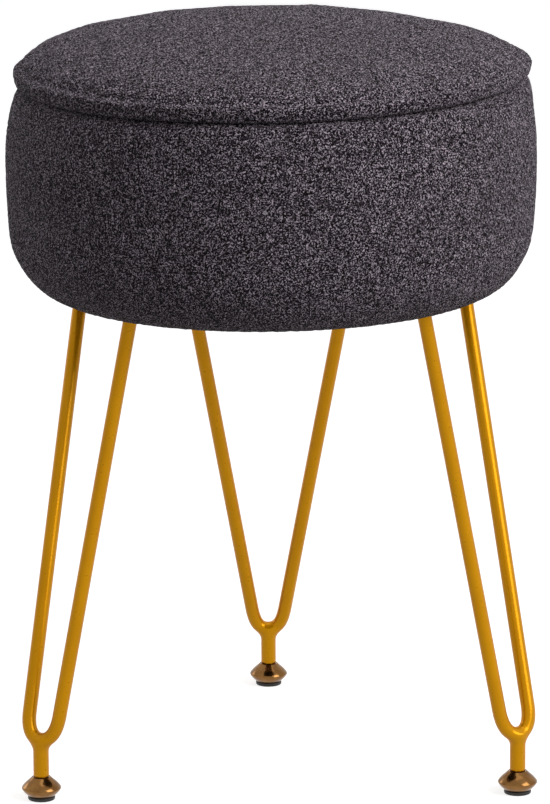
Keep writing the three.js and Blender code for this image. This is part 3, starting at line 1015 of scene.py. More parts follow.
def calmed(moves: Array, axis: int, wrapped: bool) -> Array:
    """Each row or column of moves averaged with its two neighbours, itself counting double, twice over.

    Args:
        moves: (r, c, 3), the last column equal to the first where wrapped.
        axis: 0 to average across the rows, 1 across the columns.
        wrapped: whether the columns close on themselves.

    Returns:
        The averaged moves. Ends that don't close stay.
    """
    for _ in range(2):
        before, after = np.roll(moves, 1, axis), np.roll(moves, -1, axis)
        if wrapped:
            before[:, 0], after[:, -1] = moves[:, -2], moves[:, 1]
        else:
            ends = [slice(None)] * 3
            for end in (0, -1):
                ends[axis] = end
                before[tuple(ends)] = after[tuple(ends)] = moves[tuple(ends)]
        moves = (before + 2 * moves + after) / 4
    return moves


def carried(moves: Array, rows: Array, columns: Array) -> Array:
    """Moves on a coarse grid carried to finer places, by straight-line blending between its rows and columns.

    Args:
        moves: (r, c, 3).
        rows: places along the rows, each from 0 to 1, of any shape.
        columns: places along the columns, of the same shape.

    Returns:
        The moves there, of that shape and 3.
    """
    r, c = rows * (moves.shape[0] - 1), columns * (moves.shape[1] - 1)
    r0 = np.clip(np.floor(r).astype(int), 0, moves.shape[0] - 2)
    c0 = np.clip(np.floor(c).astype(int), 0, moves.shape[1] - 2)
    tr, tc = (r - r0)[..., None], (c - c0)[..., None]
    near = moves[r0, c0] * (1 - tc) + moves[r0, c0 + 1] * tc
    far = moves[r0 + 1, c0] * (1 - tc) + moves[r0 + 1, c0 + 1] * tc
    return near * (1 - tr) + far * tr


@dataclass
class Fabric:
    """The bouclé of both covers: how its loops stand on a surface."""

    finish: BoucleKnit = field(default_factory=BoucleKnit)
    loop_size: float = 3.2 * MM
    stretch_share: float = 0.6
    fall_share: float = 1.6
    height: float = 1.0 * MM
    proud_share: float = 0.35
    seed: int = 11

    def pile(self, points: Array) -> Array:
        """Height of the looped pile over a surface, from 0 in its gaps to 1 on its loops.

        Space is cut into cubes of one loop's size. Each holds one loop at a random place, lying in a random
        direction. A point's height is 1 less a multiple of its squared distance to the nearest loop. Distance
        along a loop counts for less, so that each loop is longer than it is wide.

        Args:
            points: (n, 3).

        Returns:
            (n,) heights.
        """
        place = points / self.loop_size
        cell = np.floor(place).astype(np.int64)
        nearest = np.full(len(points), np.inf)
        for shift in np.ndindex(3, 3, 3):
            around = cell + np.array(shift) - 1
            values = lattice_values(around, self.seed, 6)
            way = values[:, 3:] - 0.5
            way /= np.linalg.norm(way, axis=1, keepdims=True) + TINY
            apart = place - around - values[:, :3]
            along = (apart * way).sum(1)
            nearest = np.minimum(nearest, (apart**2).sum(1) - self.stretch_share * along**2)
        return np.clip(1 - self.fall_share * nearest, 0, 1)

    def raised(self, grid: Array, normals: Array, amount: Array) -> tuple[Array, Array]:
        """The grid with its loops raised.

        Args:
            grid: points (rows, columns, 3) on the cover's mean surface.
            normals: its unit normals.
            amount: (rows, columns) from 0 where the pile is pressed flat to 1 where it stands.

        Returns:
            The raised points, and the pile's height from 0 to 1 at each.
        """
        pile = self.pile(grid.reshape(-1, 3)).reshape(grid.shape[:2])
        lift = self.height * (pile - 1 + self.proud_share) * amount
        return grid + normals * lift[..., None], pile

    def padded_piece(
        self, name: str, grids: tuple[Array, Array], maps: tuple[Array, Array], pile: Array
    ) -> bpy.types.Object:
        """A padded cover as one closed piece, with the pile's height in an attribute of its mesh.

        Args:
            name: the piece's name.
            grids: the points of its outer skin and of its inner side.
            maps: the places of both on the flat map.
            pile: the pile's height over the outer skin. The inner side has none.

        Returns:
            The piece. Each vertex takes the height of the first point that was merged into it.
        """
        outer, inner = (grid_surface(grid, flat) for grid, flat in zip(grids, maps, strict=True))
        whole = outer.joined(inner)
        heights = np.concatenate([pile.ravel(), np.zeros(len(inner.points))])
        _, first = np.unique(merge_keys(whole.points), axis=0, return_index=True)
        mesh = whole.mesh(name)
        layer = mesh.attributes.new(PILE, "FLOAT", "POINT")
        layer.data.foreach_set("value", heights[first].astype(np.float32))
        return new_piece(name, mesh, self.finish)


@dataclass
class Drum:
    """The padded drum: its cover and its padding, whose inner side fits round the rim ring and the wall."""

    fabric: Fabric
    opening_radius: float = 139.2 * MM
    wall_radius: float = 147.9 * MM
    padding: float = 22 * MM
    underside: float = 316.6 * MM
    height: float = 135.3 * MM
    rounding: float = 2.7 * MM
    lower_flap: float = 8 * MM
    upper_flap: float = 22 * MM
    cover_thickness: float = 2.4 * MM
    clearance: float = 0.3 * MM
    ring_width: float = 14 * MM
    wall_thickness: float = 6 * MM
    ring_height: float = 9 * MM
    side_shares: tuple = (
        (0.186, 0.044), (0.58, 0.122), (0.868, 0.24), (0.986, 0.44), (1, 0.69), (0.9, 0.87), (0.755, 0.965),
    )
    hidden_pile_share: float = 0.4
    pressed_depth: float = 0.4 * MM
    free_depth: float = 2.5 * MM
    columns: int = 960
    curve_steps: int = 24
    rounding_steps: int = 6
    spacing: float = 1.25 * MM
    hidden_spacing: float = 5 * MM
    cloth_spacing: float = 7 * MM
    cloth_columns: int = 120
    held_width: float = 8 * MM
    held_below: float = 12 * MM
    held_above: float = 8 * MM
    cloth: ClothRun = field(default_factory=ClothRun)
    lean: Lean = field(default_factory=Lean)

    @property
    def top(self) -> float:
        """Height of the rim."""
        return self.underside + self.height

    def outer_line(self) -> tuple[Array, Array]:
        """The cover's outer line, from inside the lower rim to inside the upper one.

        A quarter turn rounds each rim. The side between them is the smooth curve through the shares of the
        padding and of the height.

        Returns:
            The line's (radius, height) points, and how far the pile stands at each, from 0 to 1. The lid
            presses the pile of the rim flat.
        """
        opening, rounding, steps = self.opening_radius, self.rounding, self.rounding_steps
        lower = arc((opening + rounding, self.underside + rounding), rounding, 180, 270, steps)
        side = np.array([self.wall_radius, self.underside])
        side = side + np.array(self.side_shares) * [self.padding, self.height]
        shoulder = np.array([[side[-1, 0] - 2 * rounding, self.top]])
        curve = curve_through(np.concatenate([lower[-1:], side, shoulder]), self.curve_steps)
        upper = arc((opening + rounding, self.top - rounding), rounding, 90, 180, steps)
        shown = even_steps(curve, self.spacing)
        flap_low = np.array([[opening, self.underside + self.lower_flap], lower[0]])
        flap_low = even_steps(flap_low, self.hidden_spacing)
        flap_top = even_steps(np.array([upper[-1], [opening, self.top - self.upper_flap]]), self.spacing)
        rim = even_steps(np.array([shown[-1], upper[0]]), self.spacing)
        line = np.concatenate([flap_low[:-1], lower[:-1], shown[:-1], rim[:-1], upper[:-1], flap_top])
        beneath = smooth_rise(line[:, 1], self.top - self.pressed_depth, self.top - self.free_depth)
        pressed = np.where(line[:, 0] < shoulder[0, 0] + rounding, beneath, 1.0)
        within = line[:, 0] < opening + 2 * rounding
        return line, np.where(within, self.hidden_pile_share * pressed, pressed)

    def inner_line(self) -> Array:
        """The padding's inner line, from the upper flap's end round rim ring and wall to the lower flap."""
        skin = self.opening_radius + self.cover_thickness
        ring_top = self.top - self.cover_thickness
        ring_outer = self.wall_radius - self.wall_thickness + self.ring_width + self.clearance
        ring_low = ring_top - self.ring_height - 2 * self.clearance
        wall = self.wall_radius + self.clearance
        wall_low = self.underside + self.lower_flap - self.clearance
        return np.array(
            [
                [skin, self.top - self.upper_flap],
                [skin, ring_top],
                [ring_outer, ring_top],
                [ring_outer, ring_low],
                [wall, ring_low],
                [wall, wall_low],
                [skin, wall_low],
                [skin, self.underside + self.lower_flap],
                [self.opening_radius, self.underside + self.lower_flap],
            ]
        )

    def crease_moves(self, line: Array, centre: Array) -> Array:
        """The cover's creases from the cloth runs, carried to the fine grid.

        Args:
            line: the cover's outer line.
            centre: the drum's axis (x, y).

        Returns:
            How far each point of the fine grid moves. What lies on the wall and near both rims is held.
        """
        lengths = line_lengths(line)
        coarse = even_steps(line, self.cloth_spacing)
        grid = turned(coarse, self.cloth_columns, centre)
        radii, heights = (np.broadcast_to(coarse[:, None, i], grid.shape[:2]) for i in (0, 1))
        free = smooth_rise(radii, self.wall_radius, self.wall_radius + self.held_width)
        free = free * smooth_rise(heights, self.underside, self.underside + self.held_below)
        free = free * smooth_rise(heights, self.top, self.top - self.held_above)
        moves = self.cloth.creases(grid, 1 - free, True)
        rows = np.broadcast_to((lengths / lengths[-1])[:, None], (len(line), self.columns + 1))
        columns = np.broadcast_to(np.linspace(0, 1, self.columns + 1), rows.shape)
        return carried(moves, rows, columns)

    def build(self) -> None:
        """Makes the cover and its padding as one closed form."""
        centre = box_middle("drum_wall")
        line, standing = self.outer_line()
        grid = turned(line, self.columns, centre)
        grid = grid + self.crease_moves(line, centre)
        amount = np.broadcast_to(standing[:, None], grid.shape[:2])
        raised, pile = self.fabric.raised(grid, grid_normals(grid, True), amount)
        raised = self.lean.raised(raised, centre)
        raised[:, -1] = raised[:, 0]
        inner = np.concatenate([line[-1:], self.inner_line()])
        inside = turned(inner, self.columns, centre)
        inside[0] = raised[-1]
        inside[-1] = raised[0]
        turn_length = TURN * self.wall_radius
        up = line_lengths(line) / turn_length
        inside_up = up[-1] + line_lengths(inner) / turn_length
        flat, inside_flat = (self.flat_map(part, inside_up[-1]) for part in (up, inside_up))
        pad = self.fabric.padded_piece("drum_pad", (raised, inside), (flat, inside_flat), pile)
        place_piece(pad, "stool_base", ("drum_cover", "drum_foam"))

    def flat_map(self, up: Array, total: float) -> Array:
        """A strip of the flat map.

        Args:
            up: length from the lower flap to each row, in turns of the wall.
            total: the same for the last row of all.

        Returns:
            Places (rows, columns + 1, 2): the share of a turn and the length, both scaled to fit into 1.
        """
        scale = 1 / max(1.0, total)
        across, along = np.meshgrid(np.linspace(0, 1, self.columns + 1) * scale, up * scale)
        return np.stack([across, along], axis=-1)


@dataclass
class Lid:
    """The padded lid that lifts off: its cover and padding, and the disc under it that centres it."""

    fabric: Fabric
    radius: float = 164.8 * MM
    underside: float = 452.2 * MM
    band: float = 4.9 * MM
    crown: float = 32.9 * MM
    fullness: float = 2.06
    shoulder: float = 2.0
    rounding: float = 4.5 * MM
    flap: float = 24 * MM
    cover_thickness: float = 2.4 * MM
    clearance: float = 0.3 * MM
    board_radius: float = 154.8 * MM
    board_thickness: float = 8 * MM
    disc_radius: float = 138.2 * MM
    disc_low: float = 445.6 * MM
    disc_thickness: float = 9 * MM
    seam_place: float = 8.4 * MM
    seam_height: float = 1.7 * MM
    seam_width: float = 2.0 * MM
    groove_depth: float = 1.0 * MM
    groove_place_share: float = 2.4
    pressed_height: float = 0.3 * MM
    free_height: float = 2.5 * MM
    crown_steps: int = 400
    rounding_steps: int = 8
    rings: int = 170
    coarse_rings: int = 32
    held_height: float = 2 * MM
    loose_height: float = 3 * MM
    wave_height: float = 0.9 * MM
    wave_size: float = 55 * MM
    wave_seed: int = 21
    wave_inset: float = 25 * MM
    wave_full_inset: float = 8 * MM
    wave_top: float = 14 * MM
    wave_full_top: float = 5 * MM
    creases: tuple = (
        (-11 * MM, -63 * MM, -2 * MM, -66 * MM),
        (9 * MM, -61 * MM, 21 * MM, -66 * MM),
        (12 * MM, -69 * MM, 24 * MM, -72 * MM),
    )
    crease_depth: float = 0.7 * MM
    crease_width: float = 1.5 * MM
    map_share: float = 0.35
    inner_map_shares: tuple = (0.36, 0.49)
    disc_edge: float = 0.8 * MM
    disc_columns: int = 180
    cloth: ClothRun = field(default_factory=lambda: ClothRun(slack=0.025))
    lean: Lean = field(default_factory=Lean)

    def outer_line(self) -> tuple[Array, Array]:
        """The cover's line from the middle of the crown out and down to the end of the flap.

        The crown's height is a root of what a power of the radius leaves of 1: flat in the middle, and steep
        at its edge. A narrow ridge, a bell curve, stands where the top panel is sewn to the band, with a
        groove like it behind.

        Returns:
            The line's (radius, height) points, and how far the pile stands at each.
        """
        edge = self.underside + self.band
        share = np.cos(np.linspace(TURN / 4, 0, self.crown_steps))
        rise = (1 - share**self.fullness) ** (1 / self.shoulder)
        crown = np.stack([self.radius * share, edge + self.crown * rise], axis=-1)
        middle = (self.radius - self.rounding, self.underside + self.rounding)
        turn = arc(middle, self.rounding, 0, -90, self.rounding_steps)
        end = np.array([[self.radius - self.flap, self.underside]])
        rough = np.concatenate([crown, turn, end])
        line = even_steps(rough, line_lengths(rough)[-1] / self.rings)
        lengths = line_lengths(line)
        outer = line[:, 0] > self.radius / 2
        seam = np.interp(-self.underside - self.seam_place, -line[outer, 1], lengths[outer])
        past = (lengths - seam) / self.seam_width
        ridge = self.seam_height * np.exp(-(past**2))
        groove = self.groove_depth * np.exp(-((past + self.groove_place_share) ** 2))
        step = np.gradient(line, axis=0)
        out = np.stack([-step[:, 1], step[:, 0]], axis=-1)
        out /= np.linalg.norm(out, axis=1, keepdims=True)
        line = line + out * (ridge - groove)[:, None]
        line[0, 0] = 0
        under = smooth_rise(line[:, 1] - self.underside, self.pressed_height, self.free_height)
        return line, under

    @staticmethod
    def square(rings: int) -> tuple[Array, Array]:
        """A square grid wrapped on a disc without a crowded middle: each ring of the square becomes a circle.

        Args:
            rings: how many rings lie round the middle point.

        Returns:
            For each grid point the share of the way out, which is the larger of its two coordinates, and the
            angle: that of its side's middle plus an eighth of a turn times the smaller over the larger.
        """
        side = np.linspace(-1, 1, 2 * rings + 1)
        x, y = np.meshgrid(side, side)
        out = np.maximum(np.abs(x), np.abs(y))
        safe = np.where(out == 0, 1, out)
        level = np.abs(x) >= np.abs(y)
        across, along = TURN / 8 * x / safe, TURN / 8 * y / safe
        angle = np.where(level, along, TURN / 4 - across)
        angle = np.where(level & (x < 0), TURN / 2 - along, angle)
        angle = np.where(~level & (y < 0), 3 * TURN / 4 + across, angle)
        return out, angle

    @staticmethod
    def spread(line: Array, out: Array, angle: Array, centre: Array) -> Array:
        """The line turned round the axis, read at each point's share of the way out and at its angle."""
        places = np.linspace(0, 1, len(line))
        radius = np.interp(out, places, line[:, 0])
        height = np.interp(out, places, line[:, 1])
        x, y = centre[0] + radius * np.cos(angle), centre[1] + radius * np.sin(angle)
        return np.stack([x, y, height], axis=-1)

    def crease_moves(self, line: Array, out: Array, centre: Array) -> Array:
        """The cover's creases from the cloth runs on a coarse square, carried to the fine one.

        Args:
            line: the cover's outer line.
            out: the fine square's shares of the way out.
            centre: the lid's axis (x, y).

        Returns:
            How far each point of the fine square moves. What lies below the edge is held.
        """
        coarse_out, coarse_angle = self.square(self.coarse_rings)
        grid = self.spread(line, coarse_out, coarse_angle, centre)
        loose = self.underside + self.band + self.loose_height
        held = smooth_rise(grid[..., 2], loose, self.underside + self.held_height)
        moves = self.cloth.creases(grid, held, False)
        side = np.linspace(0, 1, out.shape[0])
        columns, rows = np.meshgrid(side, side)
        return carried(moves, rows, columns)

    def unevenness(self, grid: Array, centre: Array) -> Array:
        """How much each point is raised: the lower edge waves up a little, and short creases dent the top.

        Args:
            grid: the cover's points.
            centre: the seat's axis (x, y).

        Returns:
            Heights to add. The edge's wave is a broad noise. A crease is a bell curve of the distance to it.
        """
        level = grid[..., :2] - centre
        around = np.concatenate([level, np.zeros_like(level[..., :1])], axis=-1).reshape(-1, 3)
        wave = (1 + value_noise(around, self.wave_size, self.wave_seed).reshape(level.shape[:2])) / 2
        away = np.linalg.norm(level, axis=-1)
        near_edge = smooth_rise(away, self.radius - self.wave_inset, self.radius - self.wave_full_inset)
        low = smooth_rise(grid[..., 2], self.underside + self.wave_top, self.underside + self.wave_full_top)
        rise = self.wave_height * wave * near_edge * low
        for crease in self.creases:
            start, end = np.array(crease[:2]), np.array(crease[2:])
            way = end - start
            share = np.clip((level - start) @ way / (way @ way), 0, 1)
            apart = np.linalg.norm(level - start - share[..., None] * way, axis=-1)
            rise = rise - self.crease_depth * np.exp(-((apart / self.crease_width) ** 2))
        return rise

    def build(self) -> None:
        """Makes the cover and its padding as one closed form round the board, and the disc."""
        centre = box_middle("lid_board")
        line, standing = self.outer_line()
        out, angle = self.square(self.rings)
        grid = self.spread(line, out, angle, centre)
        grid = grid + self.crease_moves(line, out, centre)
        amount = np.interp(out, np.linspace(0, 1, len(line)), standing)
        raised, pile = self.fabric.raised(grid, grid_normals(grid, False), amount)
        raised = self.lean.raised(raised, centre)
        raised[..., 2] += self.unevenness(raised, centre)
        border = self.border(out.shape[0])
        ways = np.stack([np.cos(angle), np.sin(angle)], axis=-1)
        across = ways[border]
        board = self.board_radius + self.clearance
        low = self.underside + self.cover_thickness
        high = low + self.board_thickness + 2 * self.clearance
        rows = [raised[border]]
        for radius, height in ((self.radius - self.flap, low), (board, low), (board, high), (0, high)):
            heights = np.full((len(across), 1), height)
            rows.append(np.concatenate([centre + radius * across, heights], axis=-1))
        inside = np.stack(rows)
        flat = 0.5 + self.map_share * out[..., None] * ways
        inner_shares = np.linspace(*self.inner_map_shares, len(rows))
        inside_flat = 0.5 + inner_shares[:, None, None] * across[None]
        pad = self.fabric.padded_piece("lid_pad", (raised, inside), (flat, inside_flat), pile)
        place_piece(pad, "lid", ("lid_cover", "lid_foam"))
        disc = disc_line(self.disc_radius, self.disc_low, self.disc_low + self.disc_thickness, self.disc_edge)
        plug = lathe_piece("lid_plug", disc, self.disc_columns, centre, FibreBoard())
        place_piece(plug, "lid", ("locating_disc",))

    @staticmethod
    def border(side: int) -> tuple[Array, Array]:
        """Rows and columns of a square grid's outermost points, once round and back to the first corner."""
        last = side - 1
        run, still = np.arange(last), np.full(last, last)
        rows = np.concatenate([0 * run, run, still, last - run, [0]])
        columns = np.concatenate([run, still, last - run, 0 * run, [0]])
        return rows, columns


def disc_line(radius: float, low: float, high: float, edge: float) -> Array:
    """A flat disc's outline, out along its underside, round a chamfered edge and back along its top."""
    inner = radius - edge
    side = [[inner, low], [radius, low + edge], [radius, high - edge], [inner, high]]
    return np.array([[0, low], *side, [0, high]])


def cut_away(piece: bpy.types.Object, cutter: bpy.types.Mesh) -> None:
    """Cuts a closed mesh away from a piece's own and leaves no modifier behind."""
    tool = linked("cutter", cutter)
    cut = piece.modifiers.new("cut", "BOOLEAN")
    cut.operation, cut.solver, cut.object = "DIFFERENCE", "EXACT", tool
    settled(piece)
    bpy.data.objects.remove(tool)


@dataclass
class Linings:
    """The cloths inside the drum, under the lid and under the base, and the lowest one's staples."""

    cloth: SpunbondCloth = field(default_factory=SpunbondCloth)
    thickness: float = 0.6 * MM
    wall_radius: float = 141.5 * MM
    wall_low: float = 339.95 * MM
    wall_high: float = 429.5 * MM
    hem: float = 9 * MM
    hem_thickness: float = 0.5 * MM
    floor_radius: float = 140.85 * MM
    floor_low: float = 339.95 * MM
    lid_radius: float = 138.1 * MM
    lid_low: float = 444.6 * MM
    dust_radius: float = 141.5 * MM
    dust_low: float = 325.1 * MM
    hole_radius: float = 3.4 * MM
    hole_below: float = 2 * MM
    hole_above: float = 3 * MM
    hole_columns: int = 24
    pucker: float = 0.12 * MM
    pucker_size: float = 14 * MM
    wall_seed: int = 3
    spacing: float = 3 * MM
    wall_spacing: float = 2 * MM
    columns: int = 240
    staple_ring: float = 135 * MM
    staple_width: float = 11 * MM
    staple_wire: float = 0.6 * MM
    staple_sides: int = 8
    staple_steps: int = 3
    staple_sectors: tuple = ((130, 158, 4), (238, 302, 8), (22, 50, 4))

    def puckered(self, grid: Array, way: Array, seed: int) -> Array:
        """The grid with shallow puckers along a direction, and its last column set back on its first."""
        lift = value_noise(grid.reshape(-1, 3), self.pucker_size, seed).reshape(grid.shape[:2])
        grid = grid + way * (self.pucker * lift)[..., None]
        grid[:, -1] = grid[:, 0]
        return grid

    def disc(self, name: str, radius: float, low: float, seed: int) -> bpy.types.Object:
        """A puckered disc of cloth as a piece."""
        line = disc_line(radius, low, low + self.thickness, self.thickness / 4)
        under, over = (even_steps(part, self.spacing) for part in (line[:2], line[4:]))
        grid = turned(np.concatenate([under, line[2:4], over]), self.columns, box_middle("drum_wall"))
        grid = self.puckered(grid, np.array([0, 0, 1]), seed)
        return new_piece(name, grid_surface(grid).mesh(name), self.cloth)

    def wall(self) -> None:
        """The tube of cloth inside the wall, with a hem along its upper edge."""
        inner = self.wall_radius - self.thickness
        hem = inner - self.hem_thickness
        line = np.array(
            [
                [self.wall_radius, self.wall_low],
                [self.wall_radius, self.wall_high],
                [hem, self.wall_high],
                [hem, self.wall_high - self.hem],
                [inner, self.wall_high - self.hem - self.hem_thickness],
                [inner, self.wall_low],
                [self.wall_radius, self.wall_low],
            ]
        )
        centre = box_middle("drum_wall")
        grid = turned(even_steps(line, self.wall_spacing), self.columns, centre)
        inward = np.zeros_like(grid)
        inward[..., :2] = centre - grid[..., :2]
        inward /= np.linalg.norm(inward, axis=-1, keepdims=True)
        grid = self.puckered(grid, inward, self.wall_seed)
        cloth = new_piece("wall_cloth", grid_surface(grid).mesh("wall_cloth"), self.cloth)
        place_piece(cloth, "stool_base", ("wall_lining",))

    def level(
        self, name: str, body: str, radius: float, low: float, node: str, held_by: str
    ) -> bpy.types.Object:
        """A flat disc of cloth, made and placed.

        Args:
            name: the piece's name, whose length picks its puckers.
            body: the body that carries it.
            radius: its radius.
            low: the height of its underside.
            node: the solid that it replaces.
            held_by: the solid that it is fixed to. Not used.

        Returns:
            The piece.
        """
        cloth = self.disc(name, radius, low, len(name))
        place_piece(cloth, body, (node,))
        return cloth

    def staples(self) -> None:
        """Wire staples round the dust cloth, between the leg plates.

        Each is a bar with rounded ends, a line turned about its own length and set square to the way out.
        """
        centre = box_middle("drum_wall")
        half, wire = self.staple_width / 2, self.staple_wire / 2
        start_arc = arc((-half + wire, 0), wire, 180, 90, self.staple_steps)
        end_arc = arc((half - wire, 0), wire, 90, 0, self.staple_steps)
        length, radius = np.concatenate([start_arc, end_arc]).T[..., None]
        out, up = np.moveaxis(radius[..., None] * turn_directions(self.staple_sides), -1, 0)
        bars = []
        for start, end, count in self.staple_sectors:
            for angle in np.radians(np.linspace(start, end, count)):
                c, s = math.cos(angle), math.sin(angle)
                x = centre[0] + (self.staple_ring + out) * c - length * s
                y = centre[1] + (self.staple_ring + out) * s + length * c
                bars.append(grid_surface(np.stack([x, y, up + self.dust_low - wire], axis=-1)))
        piece = new_piece("dust_staples", bars[0].joined(*bars[1:]).mesh("dust_staples"), ZincPlate())
        place_piece(piece, "stool_base")

    def build(self) -> None:
        """Makes the four cloths and the staples."""
        self.wall()
        base, board = "stool_base", "base_board"
        self.level("floor_cloth", base, self.floor_radius, self.floor_low, "floor_lining", board)
        self.level("lid_cloth", "lid", self.lid_radius, self.lid_low, "lid_lining", "locating_disc")
        dust = self.level("dust_cloth", base, self.dust_radius, self.dust_low, "dust_cover", board)
        low, high = self.dust_low - self.hole_below, self.dust_low + self.hole_above
        line = disc_line(self.hole_radius, low, high, 0)
        centres = [box_middle(bolt) for side in Side for bolt in side.bolts]
        holes = [grid_surface(turned(line, self.hole_columns, centre)) for centre in centres]
        cut_away(dust, holes[0].joined(*holes[1:]).mesh("cutter"))
        self.staples()


@dataclass
class LegBolts:
    """The nine button-head bolts that hold the leg plates, each with a hexagon socket."""

    head_radius: float = 5.5 * MM
    head_height: float = 2.8 * MM
    crown_radius: float = 4.4 * MM
    cheek_inset: float = 0.3 * MM
    cheek_height: float = 1.4 * MM
    shank_radius: float = 3 * MM
    length: float = 16 * MM
    socket_across: float = 4 * MM
    socket_depth: float = 1.7 * MM
    columns: int = 36
    sharp: float = 30.0
    zinc: ZincPlate = field(default_factory=ZincPlate)

    def grid(self, centre: Array, low: float) -> Array:
        """A bolt as a turned grid.

        Args:
            centre: its axis (x, y).
            low: the height of its head's crown, which faces down.

        Returns:
            The grid. Its socket's two rings are a hexagon: half the width across the flats over the cosine of
            the angle from the middle of the nearest flat.
        """
        high, across = low + self.head_height, self.socket_across / 2
        line = np.array(
            [
                (0, low + self.socket_depth),
                (across, low + self.socket_depth),
                (across, low),
                (self.crown_radius, low),
                (self.head_radius - self.cheek_inset, high - self.cheek_height),
                (self.head_radius, high),
                (self.shank_radius, high),
                (self.shank_radius, high + self.length),
                (0, high + self.length),
            ]
        )
        grid = turned(line, self.columns, centre)
        ways = turn_directions(self.columns)
        angle = np.arctan2(ways[:, 1], ways[:, 0])
        reach = across / np.cos((angle + TURN / 12) % (TURN / 6) - TURN / 12)
        grid[1:3, :, :2] = centre + reach[:, None] * ways
        return grid

    def build(self) -> None:
        """Makes the bolts, one piece to a plate."""
        for side in Side:
            made = [grid_surface(self.grid(box_middle(n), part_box(n)[0].z)).flipped() for n in side.bolts]
            mesh = made[0].joined(*made[1:]).mesh(f"bolts_{side.label}")
            mesh.set_sharp_from_angle(angle=math.radians(self.sharp))
            piece = new_piece(f"bolts_{side.label}", mesh, self.zinc)
            place_piece(piece, "stool_base", side.bolts)


